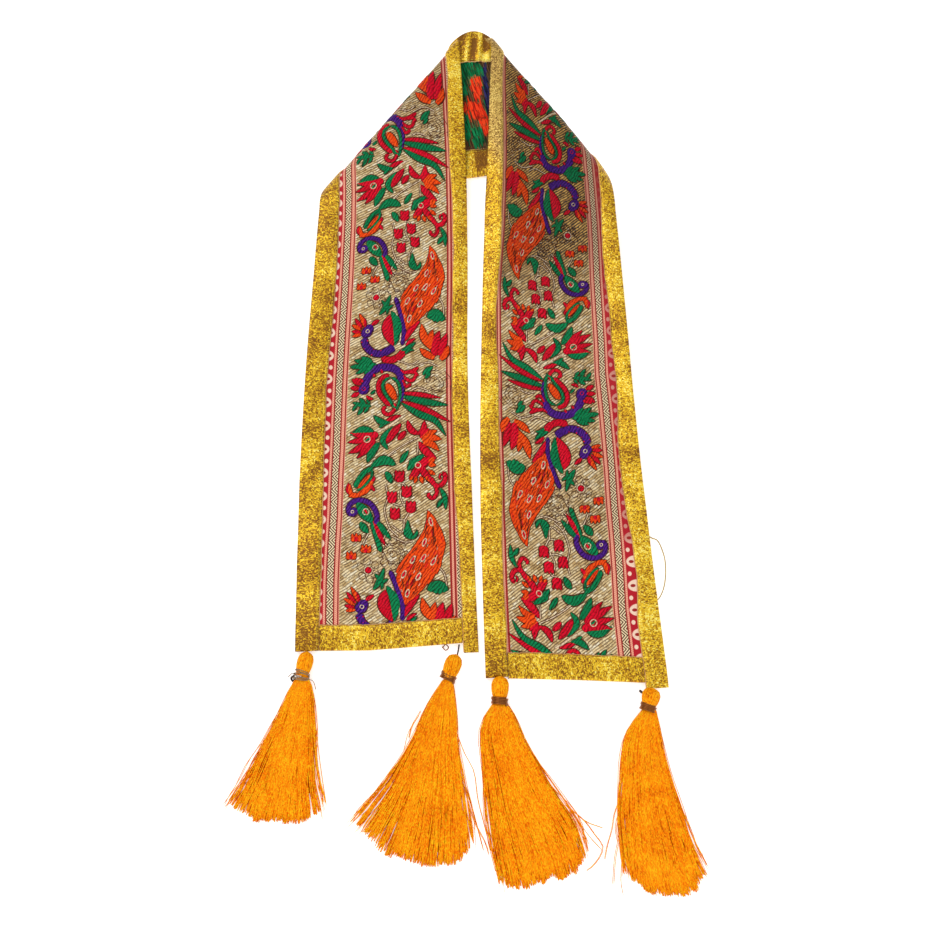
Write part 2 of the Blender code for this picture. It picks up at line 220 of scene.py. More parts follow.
# hem line: share of the width from the outer edge, distance from the square hem
HEM_LINE = {
    "left": [(0.0, 2.2), (0.4, 1.0), (0.75, 2.5), (1.0, 3.7)],
    "right": [(0.0, -3.3), (0.15, -2.4), (0.5, 1.2), (1.0, 5.5)],
}
HEM_BAND = 14.5
BIND_END = {"left": (1.8, -2.2), "right": (-6.0, 5.3)}


def smooth(x):
    x = np.clip(x, 0.0, 1.0)
    return x * x * (3.0 - 2.0 * x)


class Half:
    """one leg with its shoulder fold"""

    def __init__(self, name):
        self.name = name
        self.p = p = HALF[name]
        self.side = p["side"]
        rows = COURSE[name]
        self.ku = [r[0] for r in rows]
        self.kw = [r[2] for r in rows]
        self.us = np.arange(-20.0, 560.0, 2.0)
        self.hd = np.radians(np.interp(self.us, self.ku, [r[1] for r in rows]))
        x = np.concatenate([[0.0], np.cumsum(2.0 * np.cos(self.hd[:-1]))])
        y = np.concatenate([[0.0], np.cumsum(2.0 * np.sin(self.hd[:-1]))])
        self.cx = x - x[10] + p["x0"]
        self.cy = y - y[10] + p["y0"]
        a = math.radians(p["fdir"])
        self.d = (math.cos(a), math.sin(a))
        n = (math.sin(a), -math.cos(a))
        self.n = n if n[0] * self.side < 0 else (-n[0], -n[1])

    def radius(self, t):
        return self.p["r0"] + (self.p["r1"] - self.p["r0"]) * np.clip(t / 140.0, -0.15, 1.0)

    def bow(self, t):
        x = np.clip((t + 25.0) / 150.0, 0.0, 1.0)
        return self.p["bow"] * 6.75 * x * (1.0 - x) ** 2

    def climb(self, r):
        run = self.p["rise"] - r
        return run + 0.6 * (2.0 * r) ** 2 / run

    def plan(self, u, v):
        x = np.interp(u, self.us, self.cx)
        y = np.interp(u, self.us, self.cy)
        h = np.interp(u, self.us, self.hd)
        w = (v - WIDTH / 2) * np.interp(u, self.ku, self.kw) * self.side
        return x + np.sin(h) * w, y - np.cos(h) * w

    def along(self, u, v):
        x, y = self.plan(u, v)
        x, y = x - self.p["fx"], y - self.p["fy"]
        t = x * self.d[0] + y * self.d[1]
        return x * self.n[0] + y * self.n[1] + self.p["rise"] - self.bow(t), t

    def station(self, v, turn, extra=0.0):
        s, t = self.along(self.us, np.full_like(self.us, v))
        if turn is None:
            return float(np.interp(0.0, s, self.us))
        r = self.radius(t)
        return float(np.interp(0.0, s - self.climb(r) - turn * r - extra, self.us))

    def point(self, u, v):
        s, t = self.along(u, v)
        r = self.radius(t)
        top = self.climb(r)
        f = np.clip(s / top, 0.0, 1.0)
        th = np.clip((s - top) / r, 0.0, math.pi)
        back = np.clip(s - top - math.pi * r, 0.0, None)
        rise = self.p["rise"]
        h = np.where(s <= 0, s - rise,
                     np.where(s < top, -rise + (rise - r) * f, -r + r * np.sin(th) - back))
        h = h + self.bow(t)
        z = np.where(s <= 0, 0.0, np.where(s < top, 2.0 * r * smooth(f), r + r * np.cos(th)))
        return np.stack([self.p["fx"] + self.n[0] * h + self.d[0] * t,
                         self.p["fy"] + self.n[1] * h + self.d[1] * t, z + MID], -1)

    def at(self, u, v, h):
        """points h mm out of the middle surface, on the face side where h is above 0"""
        u, v, h = np.broadcast_arrays(np.asarray(u, float), np.asarray(v, float),
                                      np.asarray(h, float))
        e = 0.04
        a = self.point(u + e, v) - self.point(u - e, v)
        b = self.point(u, v + e) - self.point(u, v - e)
        c = np.cross(a, b) * -self.side
        c /= np.linalg.norm(c, axis=-1, keepdims=True)
        return self.point(u, v) + c * (h + self.ripple(u, v))[..., None]

    def ripple(self, u, v):
        """the lie of the cloth: soft swells, a little stronger along its edges; none round
        the roll, where the stretches join"""
        ph = 0.0 if self.side > 0 else 1.7
        edge = np.clip(np.abs(v - WIDTH / 2) / (WIDTH / 2), 0, 1) ** 2
        w = (0.16 * np.sin(u / 13.0 + v / 38.0 + ph) + 0.12 * np.sin(u / 7.3 - v / 21.0 + 2 * ph)
             + edge * (0.22 * np.sin(u / 6.2 + ph * 3) + 0.16 * np.sin(u / 3.7 + v / 9.0)))
        s, t = self.along(u, v)
        fade = 1.0 - smooth((s - self.climb(self.radius(t)) + 12.0) / 14.0)
        return (w + 0.36) * 0.8 * fade * smooth((u + 4.0) / 10.0)


LEFT = Half("left")
RIGHT = Half("right")


class Neck:
    """the stretch between the two folds, face down: w from the end of the left roll (0)
    to the end of the right one (1), v from 0 at the lower edge to WIDTH at the arch"""

    ARCH, LIFT, SAG, SEAM = 3.5, 0.5, 5.0, 0.5

    def __init__(self):
        self.vs = np.linspace(0.0, WIDTH, 60)
        self.ends = [np.array([half.point(half.station(v, math.pi, self.SEAM), v)
                               for v in self.vs]) for half in (LEFT, RIGHT)]

    def point(self, w, v):
        f = v / WIDTH
        a, b = [np.stack([np.interp(v, self.vs, e[:, i]) for i in range(3)], -1)
                for e in self.ends]
        p = a * (1.0 - w)[..., None] + b * w[..., None]
        round_ = 4.0 * w * (1.0 - w)
        p[..., 1] += round_ * (self.ARCH * f * f - self.SAG * (1.0 - f) ** 2)
        # the outer edge fans out behind both legs into a round arch
        ea, eb = self.ends[0][-1], self.ends[1][-1]
        ex = 1.0 + (2.0 * w - 1.0) * 14.6
        ey = 0.5 * (ea[1] + eb[1]) + 4.6 - ((ex - 1.0) / 4.9) ** 2
        fan = smooth((f - 0.76) / 0.24)
        p[..., 0] += (ex - (ea[0] * (1.0 - w) + eb[0] * w)) * fan
        p[..., 1] += (ey - (ea[1] * (1.0 - w) + eb[1] * w + round_ * self.ARCH)) * fan
        p[..., 2] = MID + self.LIFT * round_ * round_ * f
        return p

    def at(self, w, v, h):
        w, v, h = np.broadcast_arrays(np.asarray(w, float), np.asarray(v, float),
                                      np.asarray(h, float))
        e = 0.004
        a = self.point(w + e, v) - self.point(w - e, v)
        b = self.point(w, v + 0.4) - self.point(w, v - 0.4)
        c = np.cross(a, b)
        c /= np.linalg.norm(c, axis=-1, keepdims=True)
        c = np.where(c[..., 2:3] > 0, -c, c)
        return self.point(w, v) + c * h[..., None]


NECK = Neck()


def bands(name, u, which):
    rows = BANDS[name]
    return np.interp(u, [r[0] for r in rows], [r[1 + which] for r in rows])


def hem_line(name, v):
    rows = HEM_LINE[name]
    return np.interp(np.asarray(v) / WIDTH, [r[0] for r in rows], [r[1] for r in rows])


# ------------------------------------------------------------------ node materials
class Shade:
    """a short way to write a material's nodes"""

    def __init__(self, name):
        self.mat = bpy.data.materials.new(name)
        self.mat.use_nodes = True
        self.t = self.mat.node_tree
        self.bsdf = self.t.nodes["Principled BSDF"]

    def put(self, socket, value):
        if isinstance(value, bpy.types.NodeSocket):
            self.t.links.new(value, socket)
        elif hasattr(value, "__len__"):
            value = tuple(value)
            socket.default_value = value + (1.0,) if (socket.type == "RGBA" and len(value) == 3) else value
        else:
            socket.default_value = value

    def m(self, op, a, b=0.0, c=0.0, clamp=False):
        n = self.t.nodes.new("ShaderNodeMath")
        n.operation = op
        n.use_clamp = clamp
        self.put(n.inputs[0], a)
        self.put(n.inputs[1], b)
        self.put(n.inputs[2], c)
        return n.outputs[0]

    def uv(self, layer, scale=100.0):
        n = self.t.nodes.new("ShaderNodeUVMap")
        n.uv_map = layer
        s = self.t.nodes.new("ShaderNodeSeparateXYZ")
        self.t.links.new(n.outputs[0], s.inputs[0])
        return self.m("MULTIPLY", s.outputs[0], scale), self.m("MULTIPLY", s.outputs[1], scale)

    def vec(self, x, y, z=0.0):
        n = self.t.nodes.new("ShaderNodeCombineXYZ")
        for i, value in enumerate((x, y, z)):
            self.put(n.inputs[i], value)
        return n.outputs[0]

    def noise(self, vec, scale, detail=2.0, rough=0.5):
        n = self.t.nodes.new("ShaderNodeTexNoise")
        self.t.links.new(vec, n.inputs["Vector"])
        n.inputs["Scale"].default_value = scale
        n.inputs["Detail"].default_value = detail
        n.inputs["Roughness"].default_value = rough
        return n.outputs["Fac"]

    def white(self, vec):
        n = self.t.nodes.new("ShaderNodeTexWhiteNoise")
        n.noise_dimensions = "3D"
        self.t.links.new(vec, n.inputs["Vector"])
        return n.outputs["Value"]

    def mix(self, fac, a, b, how="MIX"):
        n = self.t.nodes.new("ShaderNodeMix")
        n.data_type = "RGBA"
        n.blend_type = how
        self.put(n.inputs[0], fac)
        self.put(n.inputs[6], a)
        self.put(n.inputs[7], b)
        return n.outputs[2]

    def ramp(self, fac, stops, how="LINEAR"):
        n = self.t.nodes.new("ShaderNodeValToRGB")
        r = n.color_ramp
        r.interpolation = how
        while len(r.elements) < len(stops):
            r.elements.new(0.5)
        for e, (pos, col) in zip(r.elements, sorted(stops, key=lambda s: s[0])):
            e.position = pos
        for e, (pos, col) in zip(r.elements, sorted(stops, key=lambda s: s[0])):
            e.color = (*col, 1.0) if hasattr(col, "__len__") else (col, col, col, 1.0)
        self.put(n.inputs[0], fac)
        return n.outputs[0]

    def step(self, x, lo, hi):
        """0 below lo, 1 above hi"""
        n = self.t.nodes.new("ShaderNodeMapRange")
        n.interpolation_type = "SMOOTHSTEP"
        self.put(n.inputs[0], x)
        n.inputs[1].default_value, n.inputs[2].default_value = lo, hi
        n.inputs[3].default_value, n.inputs[4].default_value = 0.0, 1.0
        return n.outputs[0]

    def bump(self, height, distance, strength=1.0):
        n = self.t.nodes.new("ShaderNodeBump")
        n.inputs["Strength"].default_value = strength
        n.inputs["Distance"].default_value = distance
        self.put(n.inputs["Height"], height)
        self.t.links.new(n.outputs[0], self.bsdf.inputs["Normal"])

    def set(self, **values):
        for name, value in values.items():
            self.put(self.bsdf.inputs[name.replace("_", " ")], value)
        return self.mat


def rgb(r, g, b):
    """display colour, 0 to 255, as the linear values that a shader takes"""
    return tuple(((x / 255.0 + 0.055) / 1.055) ** 2.4 if x > 10 else x / 255.0 / 12.92
                 for x in (r, g, b))


CREAM, PINK, LINE_RED = rgb(238, 214, 170), rgb(250, 170, 142), rgb(158, 30, 26)
CRIMSON, BROWN, OLIVE = rgb(192, 8, 36), rgb(112, 74, 42), rgb(150, 128, 84)


def brocade_material():
    s = Shade("brocade_face")
    v, g = s.uv("strip")
    tone, share = s.uv("tone", 1.0)
    vt = s.m("MULTIPLY", v, share)
    wander = s.m("MULTIPLY", s.m("SUBTRACT", s.noise(s.vec(v, g), 0.11, 1.0), 0.5), 1.6)
    ca, sa = math.cos(math.radians(33)), math.sin(math.radians(33))
    q = s.m("ADD", s.m("SUBTRACT", s.m("MULTIPLY", g, ca), s.m("MULTIPLY", vt, sa)), wander)
    p = s.m("ADD", s.m("MULTIPLY", g, sa), s.m("MULTIPLY", vt, ca))
    # twill: fine slanting lines of zari floats
    qr = s.m("DIVIDE", q, 1.48)
    row = s.m("FLOOR", qr)
    inrow = s.m("ABSOLUTE", s.m("SUBTRACT", s.m("FRACT", qr), 0.5))
    pr = s.m("ADD", s.m("DIVIDE", p, 2.3), s.m("MULTIPLY", s.white(s.vec(row, 3.0)), 5.0))
    dash = s.m("FLOOR", pr)
    indash = s.m("ABSOLUTE", s.m("SUBTRACT", s.m("FRACT", pr), 0.5))
    each = s.white(s.vec(row, dash, 1.0))
    force = s.m("ADD", 0.56, s.m("MULTIPLY", s.noise(s.vec(v, g, 5.0), 0.05, 2.0), 0.85))
    loose = s.m("ADD", 0.56, s.m("MULTIPLY", s.white(s.vec(row, dash, 4.0)), 0.44))
    dark = s.m("MULTIPLY", s.step(inrow, 0.16, 0.40), s.m("MULTIPLY", force, loose), clamp=True)
    speck = s.white(s.vec(s.m("FLOOR", s.m("DIVIDE", p, 0.95)), s.m("FLOOR", s.m("DIVIDE", q, 0.74)), 6.0))
    dark = s.m("MAXIMUM", dark, s.m("MULTIPLY", s.step(speck, 0.80, 0.9), s.m("MULTIPLY", force, 0.62)))
    dark = s.m("MAXIMUM", dark, s.m("MULTIPLY", s.step(indash, 0.42, 0.5), 0.4))
    yarn = s.ramp(each, [(0.0, rgb(194, 160, 104)), (0.35, rgb(226, 198, 144)), (0.75, rgb(246, 224, 176)),
                         (1.0, rgb(255, 246, 216))])
    blotch = s.noise(s.vec(v, g), 0.035, 3.0, 0.6)
    yarn = s.mix(s.m("MULTIPLY", s.step(blotch, 0.42, 0.68), 0.34), yarn, rgb(200, 164, 108))
    line = s.mix(s.noise(s.vec(v, g), 0.3), rgb(96, 50, 24), rgb(88, 66, 24))
    ground = s.mix(dark, yarn, line)
    # painted shade: where tone rises toward the shoulders the ground goes to a darker yarn and deeper lines
    shade = s.mix(s.m("MULTIPLY", dark, 1.5, clamp=True), s.mix(each, rgb(136, 96, 42), rgb(190, 146, 70)), rgb(22, 9, 2))
    ground = s.mix(tone, ground, shade)
    # side stripes
    at = s.m("DIVIDE", v, WIDTH)
    stops = [(0.0, CRIMSON), (18.5, PINK), (19.5, LINE_RED), (20.3, CREAM), (24.2, LINE_RED),
             (25.0, PINK), (26.2, LINE_RED), (27.1, PINK), (27.5, CREAM), (88.3, LINE_RED),
             (89.4, PINK), (90.7, LINE_RED), (91.7, PINK), (92.3, CREAM), (97.0, LINE_RED), (97.9, PINK),
             (98.9, CRIMSON)]
    stripes = s.ramp(at, [(a / WIDTH, c) for a, c in stops], "CONSTANT")
    rope = s.m("ABSOLUTE", s.m("SUBTRACT", s.m("FRACT", s.m("ADD", s.m("DIVIDE", g, 1.15), s.m("MULTIPLY", v, 0.55))), 0.5))
    stripes = s.mix(s.m("MULTIPLY", s.step(rope, 0.24, 0.46), 0.5), stripes, rgb(120, 30, 24))
    # herringbone
    tri = s.m("PINGPONG", g, 3.8)
    herr = s.m("ABSOLUTE", s.m("SUBTRACT", s.m("FRACT", s.m("DIVIDE", s.m("ADD", vt, tri), 1.75)), 0.5))
    herring = s.mix(s.step(herr, 0.17, 0.31), rgb(250, 226, 182), rgb(72, 40, 16))
    zig = s.ramp(at, [(0.0, 0.0), (20.3 / WIDTH, 1.0), (24.2 / WIDTH, 0.0), (92.3 / WIDTH, 1.0),
                      (97.0 / WIDTH, 0.0)], "CONSTANT")
    stripes = s.mix(zig, stripes, herring)
    # scalloped band with lace windows
    def ellipse(offset, centre, rg, rv):
        a = s.m("SUBTRACT", s.m("MULTIPLY", s.m("FRACT", s.m("DIVIDE", s.m("ADD", g, offset), 14.0)), 14.0), 7.0)
        a = s.m("DIVIDE", a, rg)
        b = s.m("DIVIDE", s.m("SUBTRACT", v, centre), rv)
        return s.m("SQRT", s.m("ADD", s.m("MULTIPLY", a, a), s.m("MULTIPLY", b, b)))
    side = s.m("LESS_THAN", v, 18.5)
    arch = s.m("MULTIPLY", s.m("SUBTRACT", 1.0, s.step(ellipse(0.15, 13.0, 3.5, 5.2), 0.92, 1.06)), side)
    dot = s.m("MULTIPLY", s.m("SUBTRACT", 1.0, s.step(ellipse(0.15, 15.2, 1.0, 1.6), 0.8, 1.1)), side)
    bead = s.m("MULTIPLY", s.m("SUBTRACT", 1.0, s.step(ellipse(7.15, 16.7, 1.35, 1.2), 0.8, 1.1)), side)
    # the lace windows dim under the painted shade of tone
    lace = s.m("MULTIPLY", s.m("MAXIMUM", arch, bead), s.m("SUBTRACT", 1.0, s.m("ADD", s.m("MULTIPLY", s.step(tone, 0.1, 0.2), 0.6), s.m("MULTIPLY", s.step(tone, 0.3, 0.6), 0.3))))
    stripes = s.mix(lace, stripes, rgb(246, 214, 190))
    stripes = s.mix(dot, stripes, LINE_RED)
    # painted shade on the stripes, following tone
    stripes = s.mix(s.m("MULTIPLY", tone, 0.8), stripes, s.mix(0.66, stripes, rgb(78, 34, 16)))
    is_ground = s.ramp(at, [(0.0, 0.0), (27.7 / WIDTH, 1.0), (88.3 / WIDTH, 0.0)], "CONSTANT")
    col = s.mix(is_ground, stripes, ground)
    grain = s.noise(s.vec(v, g), 1.7, 2.0, 0.6)
    col = s.mix(0.35, col, s.ramp(grain, [(0.25, 0.42), (0.55, 1.0), (0.8, 1.0)]), "MULTIPLY")
    height = s.m("ADD", s.m("MULTIPLY", s.m("SUBTRACT", 1.0, dark), is_ground),
                 s.m("MULTIPLY", s.m("SUBTRACT", 0.5, rope), s.m("SUBTRACT", 1.0, is_ground)))
    s.bump(s.m("ADD", height, s.m("MULTIPLY", grain, 0.5)), 0.00022, 0.8)
    return s.set(Base_Color=col, Roughness=0.52, Metallic=0.0, Specular_IOR_Level=0.22)


def reverse_material():
    s = Shade("brocade_reverse")
    v, g = s.uv("strip")
    rows = s.m("ABSOLUTE", s.m("SUBTRACT", s.m("FRACT", s.m("ADD", s.m("DIVIDE", v, 0.9), s.m("MULTIPLY", g, 0.24))), 0.5))
    mottled = s.noise(s.vec(v, g), 0.16, 3.0, 0.6)
    base = s.ramp(mottled, [(0.3, rgb(58, 44, 24)), (0.5, rgb(110, 82, 42)), (0.7, rgb(80, 78, 40))])
    base = s.mix(s.step(rows, 0.2, 0.45), base, rgb(40, 30, 18))
    s.bump(s.m("SUBTRACT", 0.5, rows), 0.0002, 0.8)
    return s.set(Base_Color=base, Roughness=0.62, Specular_IOR_Level=0.3)


def silk_float_material(name, colour, dark, light, spec=0.08, rough=0.5):
    """raised pattern weft: smooth floats across each shape, tied down by darker stitches"""
    s = Shade(name)
    along, across = s.uv("thread")
    v, g = s.uv("strip")
    tone, each = s.uv("tone", 1.0)
    ca, sa = math.cos(math.radians(52)), math.sin(math.radians(52))
    q = s.m("ADD", s.m("SUBTRACT", s.m("MULTIPLY", g, ca), s.m("MULTIPLY", v, sa)), s.m("MULTIPLY", s.noise(s.vec(v, g), 0.2, 1.0), 3.0))
    rib = s.m("ABSOLUTE", s.m("SUBTRACT", s.m("FRACT", s.m("DIVIDE", q, 1.72)), 0.5))
    fine = s.m("ABSOLUTE", s.m("SUBTRACT", s.m("FRACT", s.m("DIVIDE", s.m("ADD", along, s.m("MULTIPLY", across, 0.55)), 0.62)), 0.5))
    ties = s.m("ADD", s.m("DIVIDE", s.m("SUBTRACT", along, s.m("MULTIPLY", s.m("ABSOLUTE", across), 0.7)), 2.3), s.m("MULTIPLY", each, 3.0))
    tie = s.m("ABSOLUTE", s.m("SUBTRACT", s.m("FRACT", ties), 0.5))
    patch = s.noise(s.vec(v, g), 0.5, 2.0, 0.6)
    col = s.ramp(patch, [(0.26, dark), (0.42, colour), (0.62, colour), (0.78, light)])
    col = s.mix(s.m("MULTIPLY", s.step(fine, 0.30, 0.5), 0.2), col, dark)
    col = s.mix(s.m("MULTIPLY", each, 0.34), col, dark)
    weight = s.step(s.noise(s.vec(v, g, 9.0), 0.28, 2.0), 0.34, 0.62)
    col = s.mix(s.m("MULTIPLY", s.step(rib, 0.26, 0.46), s.m("ADD", 0.42, s.m("MULTIPLY", weight, 0.55))), col, tuple(0.45 * x for x in dark))
    # painted highlight: the light colour along the crest of each rib, where the bump is highest
    col = s.mix(s.m("MULTIPLY", s.m("SUBTRACT", 1.0, s.step(rib, 0.04, 0.2)), s.m("MULTIPLY", weight, 0.4)), col, light)
    slit = s.m("MULTIPLY", s.step(tie, 0.40, 0.49), s.step(s.noise(s.vec(v, g), 0.9, 1.0), 0.42, 0.56))
    col = s.mix(s.m("MULTIPLY", slit, 0.6), col, tuple(0.28 * x for x in dark))
    # painted shade on the floats where tone rises toward the shoulders
    col = s.mix(s.m("MULTIPLY", tone, 0.66), col, s.mix(0.62, col, (0.0, 0.0, 0.0)))
    s.bump(s.m("SUBTRACT", s.m("MULTIPLY", s.m("SUBTRACT", 0.5, rib), 1.3), slit), 0.00028, 0.8)
    return s.set(Base_Color=col, Roughness=rough, Specular_IOR_Level=spec)


def silk_back_material(name, colour, dark, light):
    """floats on the reverse: long smooth streaks along the thread"""
    s = Shade(name)
    x, y = s.uv("strip")
    tone, each = s.uv("tone", 1.0)
    over = s.m("ADD", s.m("MULTIPLY", x, 0.963), s.m("MULTIPLY", y, 0.27))
    streak = s.noise(s.vec(over, s.m("MULTIPLY", y, 0.13)), 0.95, 3.0, 0.65)
    level = s.m("ADD", s.m("MULTIPLY", each, 0.42), s.m("MULTIPLY", streak, 0.9))
    col = s.ramp(level, [(0.34, tuple(0.35 * q for q in dark)), (0.50, dark), (0.66, colour), (0.92, light)])
    s.bump(s.m("ADD", streak, s.m("MULTIPLY", each, 0.5)), 0.0003, 0.6)
    return s.set(Base_Color=col, Roughness=0.45, Specular_IOR_Level=0.12)


def ribbon_material():
    """woven lurex: cells of foil thread whose bright and dull spots are painted glints, with a pinkish selvedge line"""
    s = Shade("gold_lurex")
    along, across = s.uv("ribbon")
    tone, tan = s.uv("tone", 1.0)
    def cells(du, dv, seed):
        a = s.m("FLOOR", s.m("DIVIDE", along, du))
        b = s.m("FLOOR", s.m("DIVIDE", across, dv))
        return s.white(s.vec(a, b, seed))
    # fleck: the foil cells' brightness, painted glints and dull spots; the same cells also give the bump
    fleck = s.m("ADD", s.m("MULTIPLY", cells(0.46, 0.66, 1.0), 0.62), s.m("MULTIPLY", cells(0.9, 1.05, 2.0), 0.38))
    # broad brighter and duller patches along the ribbon: painted sheen
    sheen_patches = s.noise(s.vec(along, s.m("MULTIPLY", across, 0.5)), 0.05, 2.0, 0.5)
    streak = s.noise(s.vec(along, s.m("MULTIPLY", across, 0.8)), 0.26, 3.0, 0.6)
    level = s.m("ADD", 0.465, s.m("MULTIPLY", s.m("SUBTRACT", fleck, 0.5), 1.2))
    level = s.m("ADD", level, s.m("ADD", s.m("MULTIPLY", s.m("SUBTRACT", sheen_patches, 0.5), 1.2), s.m("MULTIPLY", s.m("SUBTRACT", streak, 0.5), 0.55)))
    # painted sheen and shade: tone above 0 dulls the foil where it turns from the light, below 0 brightens it
    level = s.m("SUBTRACT", level, s.m("MULTIPLY", tone, 0.28))
    col = s.ramp(level, [(0.03, rgb(124, 78, 12)), (0.26, rgb(176, 124, 18)), (0.48, rgb(218, 168, 30)),
                         (0.66, rgb(240, 196, 38)), (0.86, rgb(255, 222, 60)), (1.0, rgb(255, 242, 130))])
    # tan: painted dull patch where the ribbon turns from the light
    col = s.mix(s.m("MULTIPLY", tan, 0.78), col, s.mix(s.step(fleck, 0.1, 0.9), rgb(78, 46, 10), rgb(228, 192, 116)))
    warm = s.noise(s.vec(along, across), 0.5, 2.0, 0.7)
    col = s.mix(s.m("MULTIPLY", s.step(warm, 0.58, 0.74), 0.25), col, rgb(206, 140, 56))
    selv = s.m("SUBTRACT", 1.0, s.step(across, 0.35, 0.6))
    col = s.mix(s.m("MULTIPLY", selv, 0.85), col, rgb(238, 186, 128))
    stitch = s.m("MULTIPLY", s.step(across, 1.3, 1.5), s.m("SUBTRACT", 1.0, s.step(across, 1.7, 1.9)))
    pulse = s.m("LESS_THAN", s.m("FRACT", s.m("DIVIDE", along, 2.4)), 0.7)
    stitch = s.m("MULTIPLY", s.m("MULTIPLY", stitch, pulse), 0.45)
    col = s.mix(stitch, col, rgb(255, 226, 90))
    ribs = s.m("ABSOLUTE", s.m("SUBTRACT", s.m("FRACT", s.m("DIVIDE", along, 0.62)), 0.5))
    s.bump(s.m("ADD", s.m("MULTIPLY", fleck, 1.0), s.m("SUBTRACT", s.m("MULTIPLY", ribs, 0.4), s.m("MULTIPLY", stitch, 1.5))), 0.00025, 0.75)
    return s.set(Base_Color=col, Roughness=0.45, Metallic=0.45, Specular_IOR_Level=0.3)


def tassel_material(name, stops, rough=0.5):
    """crimped silk: each strand speckled light and dark along its length"""
    s = Shade(name)
    each, along = s.uv("thread", 1.0)
    tone, _ = s.uv("tone", 1.0)
    link_ = s.m("FLOOR", s.m("ADD", s.m("MULTIPLY", along, 120.0), s.m("MULTIPLY", each, 41.0)))
    fleck = s.white(s.vec(s.m("MULTIPLY", each, 977.0), link_, 2.0))
    lock = s.noise(s.vec(s.m("MULTIPLY", each, 3.0), s.m("MULTIPLY", along, 5.0)), 1.0, 2.0)
    tc = s.t.nodes.new("ShaderNodeTexCoord")
    cloud = s.noise(tc.outputs["Object"], 95.0, 3.0, 0.6)
    level = s.m("ADD", s.m("ADD", s.m("MULTIPLY", fleck, 0.74), s.m("MULTIPLY", each, 0.20)), s.m("MULTIPLY", s.m("SUBTRACT", lock, 0.38), 0.4))
    level = s.m("ADD", level, s.m("MULTIPLY", s.m("SUBTRACT", cloud, 0.46), 0.55))
    col = s.ramp(level, stops)
    # tone: painted shade on the core seen between the strands
    col = s.mix(tone, col, rgb(206, 98, 8))
    s.bump(fleck, 0.0001, 0.3)
    return s.set(Base_Color=col, Roughness=rough, Specular_IOR_Level=0.06)


def plain_material(name, colour, rough, metal=0.0, spec=0.5):
    s = Shade(name)
    c = s.t.nodes.new("ShaderNodeTexCoord")
    n = s.noise(c.outputs["Object"], 900.0, 2.0)
    col = s.mix(s.m("MULTIPLY", n, 0.5), colour, tuple(0.55 * x for x in colour))
    return s.set(Base_Color=col, Roughness=rough, Metallic=metal, Specular_IOR_Level=spec)


M_FACE = brocade_material()
M_REVERSE = reverse_material()
M_RIBBON = ribbon_material()
M_FLOAT = {
    "crimson": silk_float_material("float_crimson", rgb(228, 4, 40), rgb(150, 0, 22), rgb(248, 26, 62)),
    "orange": silk_float_material("float_orange", rgb(250, 78, 12), rgb(196, 36, 6), rgb(255, 120, 40)),
    "green": silk_float_material("float_green", rgb(2, 130, 76), rgb(0, 78, 44), rgb(16, 160, 100)),
    "purple": silk_float_material("float_purple", rgb(76, 24, 132), rgb(38, 8, 78), rgb(112, 52, 170)),
    "dark": silk_float_material("float_dark", rgb(92, 48, 30), rgb(60, 28, 18), rgb(122, 74, 44)),
    "cream": silk_float_material("float_cream", rgb(236, 212, 178), rgb(200, 168, 128), rgb(252, 238, 214)),
}
M_BACK = {
    "rust": silk_back_material("back_orange", rgb(250, 58, 18), rgb(200, 36, 12), rgb(255, 96, 44)),
    "green": silk_back_material("back_green", rgb(2, 118, 66), rgb(0, 70, 38), rgb(20, 156, 96)),
    "navy": silk_back_material("back_navy", rgb(36, 36, 88), rgb(20, 20, 50), rgb(62, 60, 124)),
    "dark": silk_back_material("back_brown", rgb(104, 70, 40), rgb(62, 38, 20), rgb(140, 104, 62)),
}
FLOAT_ORDER = ["crimson", "orange", "green", "purple", "dark", "cream"]
M_SKIRT = tassel_material("silk_strands", [(0.04, rgb(196, 80, 0)), (0.24, rgb(238, 116, 0)),
                                           (0.52, rgb(255, 147, 0)), (0.88, rgb(255, 198, 22))])
M_HEAD = tassel_material("silk_head", [(0.04, rgb(190, 82, 0)), (0.4, rgb(248, 140, 0)), (0.9, rgb(255, 190, 24))])
M_BRONZE = plain_material("bronze_wire", rgb(150, 88, 34), 0.35, 0.7)
M_THREAD = plain_material("loose_thread", rgb(196, 170, 116), 0.7, 0.0, 0.1)
M_DARK = plain_material("dark_thread", rgb(60, 34, 24), 0.6)
M_SILVER = plain_material("pale_thread", rgb(150, 122, 88), 0.5, 0.1)


def place(ob, slot_name, *nodes):
    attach(ob, "root")
    if nodes:
        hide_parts(*nodes)
    return ob


# ------------------------------------------------------------------ where the pattern lies
# polynomial lay of the repeat on each leg: chart place (c, v) to strip place (u, v)
LAY = {
    "left": ([4.547, 78.961, 27.815, -13.152, 1.967, 0.421, -4.874, 5.08, -0.801, 1.846, -3.685],
             [52.236, -8.595, 8.966, -3.133, 0.3, 47.873, 4.556, -3.52, 0.847, 0.558, -0.103]),
    "right": ([157.311, -96.297, -5.0, -0.053, 1.087, 2.273, -4.757, 2.483, 1.325, 8.171, 0.67],
              [48.649, -0.434, -0.758, 0.756, 0.321, 52.144, -1.468, -0.755, 0.101, -1.997, 0.752]),
}


def lay(name, c, v):
    g, w = c / 100.0, (v - 50.0) / 50.0
    base = np.stack([g * 0 + 1, g, g * g, g ** 3, g ** 4, w, g * w, g * g * w, g ** 3 * w,
                     w * w, g * w * w], -1)
    return base @ np.array(LAY[name][0]), base @ np.array(LAY[name][1])


def painted_shade_of(name, u):
    """painted shade: how dark the ground is drawn where the zari turns from the light, most toward the right shoulder
    """
    if name == "left":
        return 0.06 + 0.42 * smooth((u - 285.0) / 70.0)
    return 0.07 + 0.18 * smooth((u - 68.0) / 20.0) + 0.73 * smooth((u - 208.0) / 64.0)


